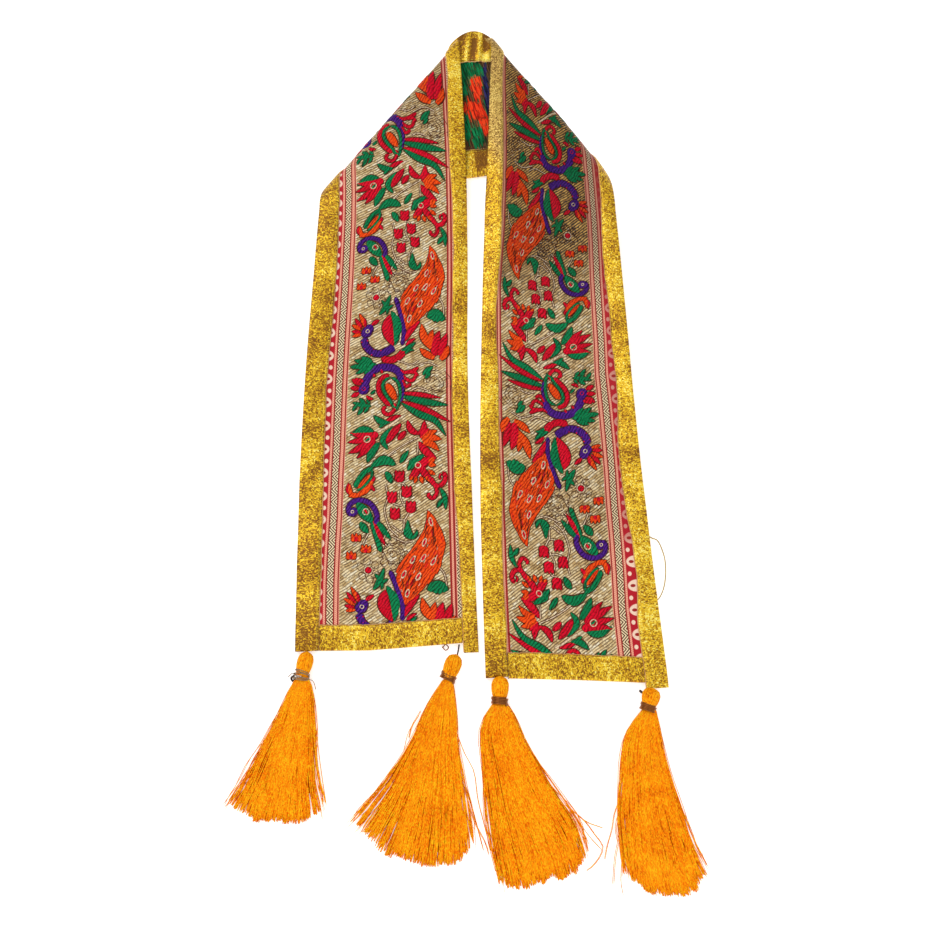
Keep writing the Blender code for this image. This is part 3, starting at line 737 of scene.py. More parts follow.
def strip_uv(name, u, v):
    rows = DRIFT[name]
    ks = [r[0] for r in rows]
    outer, inner = np.interp(u, ks, [r[1] for r in rows]), np.interp(u, ks, [r[2] for r in rows])
    f = smooth((v - 30.0) / 44.0)
    g = u if name == "left" else 157.3 - u
    return np.stack([v + outer * (1.0 - f) + inner * f, g], -1) / 100.0


# ------------------------------------------------------------------ brocade of the legs
def leg_cloth(half):
    name = half.name
    vs = np.linspace(EDGE, WIDTH - EDGE, 60)
    start = hem_line(name, vs) + EDGE
    s0, s1, s2 = [np.array([half.station(v, t) for v in vs]) for t in (None, 0.0, math.pi)]
    rows = [start + (s0 - start) * f for f in np.linspace(0, 1, 90)]
    rows += [s0 + (s1 - s0) * f for f in np.linspace(0, 1, 71)[1:]]
    rows += [s1 + (s2 - s1) * f for f in np.linspace(0, 1, 25)[1:]]
    u = np.array(rows)
    v = np.broadcast_to(vs, u.shape)
    verts, faces = wall(half.at(u, v, CLOTH / 2), half.at(u, v, -CLOTH / 2))
    if half.side < 0:
        faces = faces[:, ::-1]
    n = (u.shape[0] - 1) * (u.shape[1] - 1)
    mat = np.ones(len(faces), int)
    mat[:n] = 0
    strip = strip_uv(name, u, v).reshape(-1, 2)
    share = np.interp(u, [r[0] for r in COURSE[name]], [r[2] for r in COURSE[name]])
    # tone: painted shade of the ground along the leg; share: the width's share
    tone = np.stack([painted_shade_of(name, u), share], -1).reshape(-1, 2)
    ob = link("cloth_%s_leg" % name, verts, faces, [M_FACE, M_REVERSE],
              [("strip", np.vstack([strip, strip])), ("tone", np.vstack([tone, tone]))], mat)
    return place(ob, "brocade", "brocade_%s_leg" % name)


def neck_cloth():
    w, v = np.meshgrid(np.linspace(0, 1, 70), np.linspace(EDGE, WIDTH - EDGE, 60), indexing="ij")
    verts, faces = wall(NECK.at(w, v, CLOTH / 2), NECK.at(w, v, -CLOTH / 2))
    n = (w.shape[0] - 1) * (w.shape[1] - 1)
    mat = np.ones(len(faces), int)
    mat[:n] = 0
    strip = np.stack([v, 360 + w * 72], -1).reshape(-1, 2) / 100.0
    # a fixed painted shade (tone 0.3) on the face, which lies underneath
    tone = np.zeros((w.size, 2)) + (0.3, 1.0)
    ob = link("cloth_neck", verts, faces, [M_FACE, M_REVERSE],
              [("strip", np.vstack([strip, strip])), ("tone", np.vstack([tone, tone]))], mat)
    return place(ob, "brocade", "brocade_neck")


# ------------------------------------------------------------------ woven pattern, raised
# One repeat, charted: layer, form, colour, half width, line of (c, v) places
CHART = [
    (2, "leaf", "green", 2.2, [(170.9, 43.0), (170.4, 35.4), (169.2, 27.3)]),
    (2, "leaf", "green", 1.9, [(172.0, 40.6), (174.0, 36.5), (176.1, 32.7)]),
    (2, "leaf", "green", 1.6, [(171.8, 36.9), (173.1, 32.6), (174.4, 28.6)]),
    (2, "leaf", "green", 1.8, [(169.7, 41.3), (167.2, 38.1), (165.0, 35.3)]),
    (2, "leaf", "green", 1.6, [(169.2, 37.0), (167.0, 33.5), (165.5, 30.1)]),
    (2, "leaf", "green", 1.5, [(170.6, 32.7), (170.1, 29.4), (170.2, 26.2)]),
    (1, "bar", "purple", 2.4, [(159.2, 59.3), (164.5, 58.1), (167.9, 54.0), (168.8, 48.6), (168.3, 44.0), (166.0, 40.2), (161.7, 37.3), (157.1, 35.9)]),
    (2, "bar", "crimson", 0.8, [(169.9, 45.3), (165.0, 46.8)]),
    (2, "bar", "crimson", 0.8, [(167.3, 39.4), (162.6, 42.5)]),
    (2, "bar", "crimson", 0.8, [(160.5, 38.1), (160.3, 33.8)]),
    (2, "drop", "purple", 3.4, [(153.9, 35.0), (157.8, 36.6)]),
    (3, "ring", "crimson", 1.1, [(155.4, 35.6)]),
    (1, "leaf", "crimson", 1.6, [(158.4, 33.9), (160.1, 30.8), (162.3, 27.9)]),
    (1, "leaf", "crimson", 1.5, [(155.7, 33.1), (156.3, 30.1), (156.8, 27.1)]),
    (1, "leaf", "crimson", 1.5, [(153.2, 33.0), (152.2, 30.7), (151.3, 27.9)]),
    (1, "leaf", "crimson", 1.1, [(160.4, 35.8), (161.5, 31.8), (162.9, 29.8)]),
    (1, "leaf", "crimson", 1.0, [(151.1, 37.5), (149.5, 39.5), (148.9, 42.1)]),
    (1, "leaf", "green", 0.9, [(152.1, 40.0), (153.5, 41.9), (154.8, 42.8)]),
    (1, "bar", "crimson", 1.4, [(163.9, 51.5), (162.1, 46.9), (158.1, 44.8), (152.9, 45.5), (148.4, 48.6), (144.5, 52.7)]),
    (1, "bar", "crimson", 1.1, [(146.2, 55.2), (141.9, 55.3), (139.2, 52.1), (140.5, 49.0), (143.1, 48.5), (143.8, 50.5)]),
    (2, "bar", "green", 1.0, [(162.3, 52.2), (160.9, 48.9), (157.6, 47.4), (153.6, 48.5), (148.5, 51.9), (142.5, 56.6), (147.9, 58.5), (153.8, 58.6), (159.1, 57.1), (161.7, 54.2), (162.3, 52.2)]),
    (3, "drop", "orange", 2.5, [(157.3, 50.6), (153.1, 53.1), (149.4, 55.5)]),
    (1, "bar", "purple", 0.9, [(162.5, 58.1), (157.2, 60.1), (151.2, 60.5), (146.3, 58.5)]),
    (1, "leaf", "crimson", 1.5, [(152.5, 59.4), (151.7, 70.2), (150.2, 84.0)]),
    (2, "leaf", "green", 2.3, [(150.3, 59.7), (147.2, 74.2), (145.9, 88.5)]),
    (1, "leaf", "crimson", 1.8, [(147.2, 59.8), (142.5, 74.1), (135.6, 89.8)]),
    (2, "leaf", "green", 2.2, [(146.3, 59.5), (139.6, 70.3), (135.8, 80.6), (126.7, 87.1)]),
    (1, "bar", "crimson", 1.1, [(168.0, 55.6), (165.5, 60.7), (166.7, 66.0), (168.8, 70.0)]),
    (1, "bar", "crimson", 1.0, [(165.2, 58.0), (161.3, 62.1), (160.3, 66.1), (165.2, 69.0)]),
    (1, "bar", "crimson", 1.0, [(161.2, 59.2), (156.6, 62.2), (158.4, 65.5)]),
    (1, "leaf", "crimson", 1.0, [(165.3, 62.0), (165.7, 67.4), (163.4, 70.1)]),
    (2, "leaf", "green", 1.8, [(164.1, 72.5), (166.9, 75.3), (170.2, 79.1)]),
    (2, "leaf", "green", 1.3, [(161.7, 74.1), (164.4, 76.2), (167.6, 76.9)]),
    (0, "ring", "dark", 2.3, [(159.4, 81.4)]),
    (0, "ring", "dark", 4.6, [(159.4, 81.4)]),
    (0, "ring", "dark", 6.8, [(159.4, 81.4)]),
    (0, "ring", "dark", 9.1, [(159.4, 81.4)]),
    (2, "leaf", "green", 1.5, [(144.7, 40.9), (145.5, 35.1), (147.5, 28.9)]),
    (2, "leaf", "green", 1.4, [(145.1, 35.7), (142.3, 34.6), (139.4, 32.5)]),
    (2, "leaf", "green", 1.3, [(145.9, 37.0), (148.1, 35.0), (149.9, 33.0)]),
    (2, "leaf", "green", 1.1, [(144.3, 39.3), (142.3, 38.0), (140.7, 36.5)]),
    (2, "leaf", "green", 1.1, [(145.8, 32.5), (144.1, 30.6), (142.1, 29.4)]),
    (2, "leaf", "green", 0.9, [(146.0, 40.2), (147.5, 38.6), (148.8, 37.8)]),
    (2, "leaf", "green", 1.9, [(134.3, 52.9), (134.6, 47.7), (138.8, 42.4)]),
    (2, "leaf", "green", 1.1, [(134.0, 49.9), (132.3, 47.8), (131.4, 46.1)]),
    (1, "leaf", "crimson", 1.4, [(135.0, 49.9), (136.6, 54.1), (138.5, 59.7)]),
    (1, "bar", "cream", 0.6, [(128.1, 44.9), (132.0, 52.3), (136.6, 58.7), (138.8, 63.1)]),
    (2, "petal", "crimson", 1.9, [(127.5, 43.6), (126.6, 37.0), (128.6, 28.6)]),
    (2, "petal", "crimson", 1.9, [(125.8, 43.7), (124.0, 35.8), (122.9, 27.2)]),
    (2, "petal", "crimson", 2.4, [(124.2, 44.1), (120.1, 37.2), (116.3, 28.1)]),
    (2, "petal", "crimson", 1.9, [(122.9, 43.7), (117.5, 38.5), (113.0, 33.3)]),
    (2, "drop", "crimson", 2.2, [(127.4, 44.6), (125.5, 42.8)]),
    (4, "ring", "cream", 1.9, [(124.2, 39.3)]),
    (3, "drop", "green", 1.3, [(123.7, 38.3), (125.0, 40.9)]),
    (1, "leaf", "green", 2.2, [(129.1, 43.3), (130.4, 36.2), (127.4, 28.7)]),
    (1, "leaf", "green", 2.5, [(122.2, 47.1), (117.1, 43.0), (110.0, 39.7)]),
    (1, "leaf", "green", 1.8, [(117.6, 52.2), (124.1, 48.9), (131.7, 54.8)]),
    (2, "leaf", "crimson", 2.4, [(121.5, 51.1), (127.4, 54.9), (133.5, 60.0)]),
    (2, "leaf", "crimson", 1.8, [(123.4, 58.1), (126.4, 60.6), (128.9, 63.3)]),
    (2, "leaf", "crimson", 2.0, [(126.9, 70.9), (129.9, 65.8), (135.5, 63.6)]),
    (2, "leaf", "crimson", 1.9, [(126.9, 69.6), (129.5, 73.4), (135.5, 74.1)]),
    (2, "leaf", "crimson", 2.4, [(122.6, 70.4), (116.7, 75.2), (112.4, 81.4)]),
    (1, "petal", "crimson", 1.8, [(124.6, 72.1), (127.9, 74.1), (130.8, 76.9)]),
    (2, "petal", "orange", 1.9, [(124.6, 72.5), (127.6, 76.6), (129.8, 82.0)]),
    (2, "petal", "orange", 2.2, [(122.9, 73.0), (125.2, 78.5), (124.5, 84.5)]),
    (2, "petal", "orange", 2.0, [(121.6, 73.4), (121.3, 78.4), (117.5, 83.0)]),
    (2, "leaf", "green", 1.6, [(109.5, 59.4), (113.3, 61.9), (117.1, 64.7)]),
    (2, "leaf", "green", 2.2, [(105.1, 64.0), (110.6, 68.2), (115.0, 73.9)]),
    (2, "leaf", "green", 1.0, [(109.0, 65.0), (110.9, 66.3), (112.9, 68.2)]),
    (2, "petal", "crimson", 2.5, [(106.9, 71.5), (111.1, 75.1), (113.6, 78.3)]),
    (2, "petal", "crimson", 2.3, [(107.0, 70.6), (103.1, 68.1), (101.2, 64.9)]),
    (2, "petal", "crimson", 2.2, [(106.3, 71.9), (103.0, 74.9), (100.1, 76.4)]),
    (2, "drop", "crimson", 3.0, [(108.9, 70.0), (106.9, 73.1)]),
    (3, "leaf", "orange", 1.1, [(110.8, 75.1), (112.1, 78.3), (114.0, 80.4)]),
    (3, "leaf", "orange", 1.3, [(108.2, 76.5), (108.8, 78.8), (108.7, 81.1)]),
    (3, "leaf", "orange", 1.3, [(105.8, 76.5), (104.2, 78.4), (103.1, 80.5)]),
    (3, "leaf", "orange", 1.1, [(103.0, 74.9), (100.4, 75.9), (98.8, 77.1)]),
    (3, "leaf", "orange", 1.3, [(102.0, 71.8), (99.8, 72.4), (97.6, 73.0)]),
    (3, "leaf", "orange", 1.1, [(101.8, 69.3), (99.9, 68.9), (97.7, 68.0)]),
    (3, "leaf", "orange", 1.0, [(102.1, 67.4), (100.6, 66.2), (100.3, 64.7)]),
    (3, "leaf", "orange", 1.1, [(109.5, 76.3), (111.0, 78.9), (112.3, 80.2)]),
    (4, "ring", "cream", 1.6, [(108.3, 70.3)]),
    (4, "drop", "crimson", 1.0, [(108.3, 70.3), (108.1, 70.5)]),
    (2, "leaf", "green", 3.0, [(108.5, 57.2), (111.4, 50.0), (107.5, 41.8)]),
    (2, "bar", "green", 1.6, [(106.8, 43.7), (104.9, 39.0), (100.2, 35.1), (95.5, 32.9)]),
    (2, "bar", "green", 0.9, [(105.5, 43.5), (100.4, 41.9), (96.0, 38.2), (93.9, 34.2)]),
    (3, "drop", "orange", 1.3, [(102.6, 41.5), (98.6, 38.2), (95.5, 35.1)]),
    (4, "line", "crimson", 0.3, [(101.7, 40.7), (95.8, 35.7)]),
    (1, "petal", "orange", 1.9, [(99.1, 43.2), (93.5, 38.9), (90.5, 33.0)]),
    (1, "petal", "orange", 1.5, [(90.5, 32.5), (93.4, 30.0), (98.1, 29.9)]),
    (1, "petal", "crimson", 1.1, [(91.1, 31.2), (94.3, 28.7), (98.8, 29.1)]),
    (1, "petal", "orange", 1.5, [(91.0, 36.4), (91.1, 32.7), (90.5, 29.0)]),
    (1, "leaf", "crimson", 1.1, [(97.3, 41.3), (95.3, 43.2), (93.1, 44.8)]),
    (1, "leaf", "crimson", 1.1, [(98.5, 41.9), (100.0, 43.8), (102.0, 44.4)]),
    (2, "leaf", "green", 2.0, [(104.7, 51.0), (101.5, 53.1), (97.6, 55.0)]),
    (2, "drop", "crimson", 3.0, [(100.1, 59.3), (102.1, 59.3)]),
    (3, "leaf", "crimson", 1.1, [(101.4, 57.9), (103.7, 57.4), (105.4, 56.9)]),
    (3, "leaf", "crimson", 1.1, [(101.4, 59.3), (103.7, 59.3), (105.3, 59.4)]),
    (3, "leaf", "crimson", 1.1, [(101.3, 60.7), (103.6, 61.3), (105.3, 61.9)]),
    (2, "drop", "crimson", 3.0, [(91.0, 63.6), (93.1, 63.6)]),
    (3, "leaf", "crimson", 1.1, [(92.3, 62.2), (94.7, 61.6), (96.3, 61.2)]),
    (3, "leaf", "crimson", 1.1, [(92.3, 63.6), (94.6, 63.6), (96.3, 63.6)]),
    (3, "leaf", "crimson", 1.1, [(92.3, 65.0), (94.6, 65.6), (96.2, 66.1)]),
    (2, "drop", "crimson", 3.0, [(87.8, 54.9), (89.8, 54.9)]),
    (3, "leaf", "crimson", 1.1, [(89.1, 53.6), (91.4, 53.0), (93.1, 52.5)]),
    (3, "leaf", "crimson", 1.1, [(89.1, 54.9), (91.4, 54.9), (93.0, 54.9)]),
    (3, "leaf", "crimson", 1.1, [(89.0, 56.3), (91.3, 56.9), (93.0, 57.4)]),
    (2, "drop", "crimson", 3.0, [(82.1, 66.0), (84.1, 66.0)]),
    (3, "leaf", "crimson", 1.1, [(83.4, 64.6), (85.7, 64.0), (87.4, 63.6)]),
    (3, "leaf", "crimson", 1.1, [(83.4, 66.0), (85.7, 66.0), (87.3, 66.0)]),
    (3, "leaf", "crimson", 1.1, [(83.3, 67.4), (85.6, 68.0), (87.2, 68.5)]),
    (2, "drop", "crimson", 3.0, [(78.2, 56.7), (80.2, 56.7)]),
    (3, "leaf", "crimson", 1.1, [(79.5, 55.4), (81.8, 54.8), (83.4, 54.3)]),
    (3, "leaf", "crimson", 1.1, [(79.4, 56.7), (81.7, 56.7), (83.3, 56.8)]),
    (3, "leaf", "crimson", 1.1, [(79.4, 58.1), (81.7, 58.7), (83.3, 59.2)]),
    (0, "line", "dark", 0.3, [(97.9, 59.3), (96.8, 62.4), (90.4, 64.8)]),
    (0, "line", "dark", 0.3, [(86.2, 54.9), (84.8, 59.8), (86.5, 66.0)]),
    (0, "line", "dark", 0.3, [(80.3, 64.7), (76.5, 62.2), (76.6, 58.5)]),
    (0, "line", "dark", 0.3, [(84.1, 62.3), (90.5, 59.9), (96.8, 61.2)]),
    (0, "line", "dark", 0.3, [(76.5, 62.2), (69.1, 60.9), (73.0, 54.8)]),
    (1, "bar", "crimson", 1.3, [(105.1, 85.0), (101.7, 86.4), (97.9, 84.8), (96.4, 81.6), (98.8, 78.3), (103.0, 75.7)]),
    (1, "bar", "crimson", 0.6, [(103.9, 83.9), (101.8, 82.9), (100.2, 83.8)]),
    (1, "bar", "crimson", 1.1, [(101.6, 77.6), (96.4, 80.4), (92.3, 81.2), (89.0, 79.0), (90.4, 76.4), (92.4, 77.0)]),
    (2, "leaf", "green", 1.6, [(95.3, 83.2), (89.9, 85.8), (82.5, 86.2)]),
    (2, "leaf", "green", 1.4, [(88.6, 85.8), (86.8, 83.3), (83.4, 81.0)]),
    (2, "bar", "purple", 1.5, [(78.8, 31.8), (81.1, 29.6), (84.6, 29.6), (87.3, 32.1), (88.1, 37.0), (86.1, 42.0), (81.7, 45.3), (76.9, 46.3), (73.0, 44.5)]),
    (2, "drop", "purple", 2.7, [(81.0, 31.6), (81.6, 33.0)]),
    (4, "ring", "cream", 0.8, [(81.3, 31.8)]),
    (1, "leaf", "green", 3.4, [(87.0, 34.2), (81.5, 38.3), (74.2, 44.1)]),
    (3, "ring", "cream", 1.8, [(81.1, 39.7)]),
    (3, "drop", "crimson", 1.3, [(82.6, 38.7), (79.3, 40.9)]),
    (1, "bar", "green", 1.5, [(75.1, 43.2), (68.2, 45.3), (57.6, 48.4)]),
    (2, "leaf", "crimson", 1.6, [(75.7, 43.9), (68.2, 47.3), (61.2, 51.1)]),
    (1, "leaf", "green", 1.9, [(76.3, 45.3), (70.3, 50.0), (64.9, 54.2)]),
    (0, "line", "dark", 0.3, [(97.0, 51.2), (89.4, 52.5), (81.9, 50.6), (71.7, 53.6), (66.6, 58.4)]),
    (2, "leaf", "green", 2.2, [(75.3, 36.3), (72.1, 38.4), (68.6, 41.2)]),
    (2, "drop", "crimson", 1.9, [(65.0, 33.9), (66.3, 33.9)]),
    (3, "leaf", "orange", 1.1, [(64.3, 33.5), (66.4, 32.2), (68.6, 31.7)]),
    (3, "leaf", "orange", 1.1, [(64.3, 33.9), (66.6, 34.1), (69.0, 34.1)]),
    (3, "leaf", "orange", 1.1, [(64.3, 34.4), (66.2, 35.9), (68.2, 36.6)]),
    (3, "leaf", "orange", 1.1, [(64.3, 33.3), (65.3, 31.5), (65.6, 30.7)]),
    (3, "leaf", "orange", 1.1, [(64.3, 34.5), (65.1, 36.3), (65.5, 37.0)]),
    (2, "drop", "crimson", 1.9, [(58.3, 39.6), (59.6, 39.6)]),
    (3, "leaf", "orange", 1.1, [(57.6, 39.2), (59.7, 38.0), (61.9, 37.4)]),
    (3, "leaf", "orange", 1.1, [(57.6, 39.7), (59.9, 39.8), (62.3, 39.8)]),
    (3, "leaf", "orange", 1.1, [(57.6, 40.1), (59.5, 41.6), (61.5, 42.3)]),
    (3, "leaf", "orange", 1.1, [(57.6, 39.0), (58.6, 37.3), (58.9, 36.5)]),
    (3, "leaf", "orange", 1.1, [(57.6, 40.2), (58.4, 42.0), (58.7, 42.8)]),
    (2, "drop", "crimson", 1.9, [(54.5, 30.9), (55.8, 30.9)]),
    (3, "leaf", "orange", 1.1, [(53.8, 30.5), (55.9, 29.3), (58.0, 28.7)]),
    (3, "leaf", "orange", 1.1, [(53.8, 31.0), (56.0, 31.1), (58.5, 31.1)]),
    (3, "leaf", "orange", 1.1, [(53.8, 31.5), (55.7, 32.9), (57.6, 33.6)]),
    (3, "leaf", "orange", 1.1, [(53.8, 30.3), (54.7, 28.6), (55.1, 27.8)]),
    (3, "leaf", "orange", 1.1, [(53.8, 31.6), (54.6, 33.3), (54.9, 34.1)]),
    (0, "line", "dark", 0.3, [(68.6, 41.2), (62.2, 37.8), (57.3, 36.6)]),
    (0, "line", "dark", 0.3, [(68.3, 40.2), (64.7, 36.6)]),
    (0, "line", "dark", 0.3, [(60.4, 37.8), (56.8, 33.2)]),
    (2, "leaf", "green", 1.8, [(64.9, 67.5), (70.2, 64.3), (76.2, 64.2)]),
    (2, "leaf", "green", 1.3, [(64.9, 66.7), (67.5, 63.3), (71.3, 61.7)]),
    (2, "leaf", "green", 1.1, [(64.9, 66.7), (67.6, 68.9), (70.6, 69.5)]),
    (2, "bar", "green", 2.5, [(32.9, 76.1), (36.3, 77.4), (37.6, 80.2), (36.1, 83.1), (32.4, 84.2)]),
    (2, "bar", "green", 2.5, [(33.1, 77.3), (34.6, 80.1), (32.7, 83.0)]),
    (2, "drop", "crimson", 1.9, [(46.2, 40.8), (47.6, 40.8)]),
    (2, "ring", "cream", 2.4, [(46.8, 40.8)]),
    (0, "ring", "dark", 2.2, [(44.6, 45.2)]),
    (0, "ring", "dark", 2.2, [(41.4, 41.4)]),
    (0, "ring", "dark", 2.2, [(43.7, 37.0)]),
    (0, "ring", "dark", 2.2, [(49.0, 36.4)]),
    (0, "ring", "dark", 2.2, [(52.1, 40.2)]),
    (0, "ring", "dark", 2.2, [(49.9, 44.7)]),
    (0, "ring", "dark", 2.0, [(56.2, 55.3)]),
    (0, "ring", "dark", 4.1, [(56.2, 55.3)]),
    (0, "ring", "dark", 6.1, [(56.2, 55.3)]),
    (0, "ring", "dark", 2.2, [(56.0, 62.6)]),
    (0, "ring", "dark", 2.2, [(50.8, 60.4)]),
    (0, "ring", "dark", 2.2, [(48.8, 55.2)]),
    (0, "ring", "dark", 2.2, [(51.1, 50.2)]),
    (0, "ring", "dark", 2.2, [(56.4, 48.1)]),
    (0, "ring", "dark", 2.2, [(61.6, 50.2)]),
    (0, "ring", "dark", 2.2, [(63.6, 55.4)]),
    (0, "ring", "dark", 2.2, [(61.3, 60.5)]),
    (2, "leaf", "green", 1.8, [(34.9, 43.2), (40.5, 47.1), (48.3, 50.1)]),
    (2, "leaf", "green", 1.1, [(40.8, 48.3), (42.6, 46.2), (44.8, 44.4)]),
    (2, "leaf", "green", 1.1, [(39.9, 46.8), (39.8, 49.2), (41.6, 52.2)]),
    (2, "leaf", "green", 1.1, [(41.7, 47.1), (38.0, 48.5), (35.0, 47.9)]),
    (0, "line", "dark", 0.3, [(172.7, 48.5), (172.8, 56.5), (170.7, 64.6), (173.6, 69.9)]),
    (0, "line", "dark", 0.3, [(169.4, 67.3), (172.4, 75.3), (170.4, 82.0)]),
    (0, "line", "dark", 0.3, [(154.7, 75.4), (156.0, 70.2), (154.6, 66.2)]),
    (0, "line", "dark", 0.3, [(112.5, 49.9), (118.8, 58.8), (125.3, 70.2)]),
    (0, "line", "dark", 0.3, [(111.2, 47.4), (115.0, 55.0)]),
    (0, "line", "dark", 0.3, [(122.7, 70.2), (114.8, 70.1)]),
    (0, "line", "dark", 0.3, [(96.4, 79.8), (99.1, 74.8)]),
    (0, "line", "dark", 0.3, [(71.7, 53.6), (64.4, 49.9), (60.6, 52.3)]),
    (0, "line", "dark", 0.3, [(66.7, 54.8), (63.4, 62.1), (63.9, 66.9)]),
    (0, "line", "dark", 0.3, [(48.7, 81.1), (43.6, 84.5), (35.0, 85.5)]),
    (0, "line", "dark", 0.3, [(64.0, 64.5), (61.6, 59.6)]),
    (2, "bar", "purple", 1.4, [(46.7, 53.2), (39.1, 55.9), (29.9, 58.7), (23.0, 59.7), (14.9, 58.7)]),
    (1, "bar", "cream", 0.5, [(40.6, 52.1), (33.0, 55.2), (24.2, 57.4), (16.7, 57.4)]),
    (2, "leaf", "green", 3.0, [(37.4, 51.0), (28.0, 55.4), (14.8, 54.3)]),
    (1, "leaf", "crimson", 3.7, [(34.9, 50.2), (26.1, 48.9), (14.5, 53.1)]),
    (2, "drop", "purple", 3.4, [(22.4, 34.4), (27.2, 37.8)]),
    (4, "ring", "cream", 1.1, [(24.5, 36.2)]),
    (3, "drop", "dark", 0.6, [(24.3, 36.1), (24.8, 36.4)]),
    (2, "leaf", "crimson", 1.3, [(28.4, 38.5), (30.2, 40.9), (31.9, 43.5)]),
    (2, "leaf", "orange", 1.3, [(27.7, 34.1), (32.1, 32.7), (37.1, 30.3)]),
    (2, "leaf", "crimson", 1.3, [(26.9, 32.9), (30.4, 30.1), (33.9, 27.7)]),
    (2, "leaf", "orange", 1.3, [(25.7, 32.1), (28.0, 29.0), (29.9, 25.8)]),
    (2, "leaf", "crimson", 1.3, [(24.1, 32.1), (24.8, 29.1), (25.7, 26.0)]),
    (2, "leaf", "orange", 1.3, [(22.6, 32.4), (22.6, 29.5), (21.9, 26.6)]),
    (2, "leaf", "crimson", 1.3, [(27.4, 34.5), (30.7, 34.0), (33.9, 33.3)]),
    (2, "bar", "purple", 2.3, [(20.5, 34.0), (15.0, 35.7), (10.8, 39.8), (9.6, 45.1), (12.0, 49.9)]),
    (3, "bar", "crimson", 0.6, [(17.5, 32.4), (18.4, 37.0)]),
    (3, "bar", "crimson", 0.6, [(13.0, 34.3), (15.6, 37.8)]),
    (3, "bar", "crimson", 0.6, [(8.4, 39.4), (13.0, 40.7)]),
    (3, "bar", "crimson", 0.6, [(7.7, 45.5), (11.9, 45.3)]),
    (2, "bar", "purple", 2.5, [(10.0, 46.9), (11.8, 50.5), (14.0, 53.5)]),
    (1, "bar", "crimson", 2.2, [(6.7, 45.6), (5.3, 51.4), (7.4, 56.8), (11.6, 60.3)]),
    (2, "leaf", "crimson", 1.9, [(17.4, 60.1), (24.4, 63.6), (31.6, 69.9)]),
    (2, "leaf", "crimson", 1.1, [(14.9, 61.2), (18.1, 64.4), (19.5, 67.5)]),
    (3, "leaf", "green", 1.5, [(11.1, 57.9), (13.4, 62.7), (17.3, 67.5)]),
    (3, "leaf", "green", 1.1, [(9.3, 60.4), (12.1, 64.0), (11.7, 66.7)]),
    (2, "petal", "orange", 2.8, [(13.9, 78.1), (20.5, 73.0), (29.5, 70.9)]),
    (2, "petal", "orange", 2.2, [(14.6, 78.7), (21.4, 77.3), (26.3, 78.5)]),
    (3, "petal", "crimson", 3.0, [(9.0, 80.0), (16.5, 79.9), (26.0, 82.8)]),
    (2, "petal", "crimson", 2.5, [(9.2, 83.1), (16.3, 84.9), (25.0, 87.8)]),
    (2, "petal", "orange", 2.4, [(7.5, 80.1), (9.9, 74.5), (13.4, 70.1)]),
    (2, "petal", "orange", 2.2, [(6.7, 83.8), (10.8, 86.8), (16.7, 88.8)]),
]
# the peacock's tail: left and right edge from its root to its tip, and its eyes
TAIL = ([(25.5, 61.1), (28.6, 58.9), (40.8, 56.3), (50.5, 59.5), (60.2, 66.9), (70.0, 73.1), (81.9, 75.8)],
        [(25.5, 61.1), (28.4, 65.1), (36.6, 73.6), (46.2, 81.0), (59.7, 85.9), (65.9, 85.2),
         (76.1, 80.6), (81.9, 75.8)])
EYES = [(75.2, 77.5), (63.1, 73.6), (53.8, 72.8), (51.6, 78.4), (52.8, 66.7), (42.6, 69.5),
        (44.1, 61.2), (32.5, 62.8)]


def profile(form, t):
    if form == "leaf":
        return np.clip(np.sin(math.pi * np.clip(t, 0, 1) ** 0.9), 0.0, 1.0) ** 0.75 * 0.98 + 0.02
    if form == "drop":
        return np.where(t < 0.42, np.sqrt(np.clip(1 - (1 - t / 0.42) ** 2, 0, 1)),
                        np.sqrt(np.clip(1 - ((t - 0.42) / 0.58) ** 2, 0, 1))) * 0.97 + 0.03
    if form == "petal":
        return np.where(t < 0.5, 0.55 + 0.45 * np.sin(math.pi * t), np.clip(1 - (np.clip(t - 0.5, 0, 1) / 0.5) ** 1.7, 0, 1)) * 0.97 + 0.03
    ends = np.minimum(np.clip(t / 0.07, 0, 1), np.clip((1 - t) / 0.07, 0, 1))
    return np.sqrt(np.clip(1 - (1 - ends) ** 2, 0, 1)) * 0.9 + 0.1


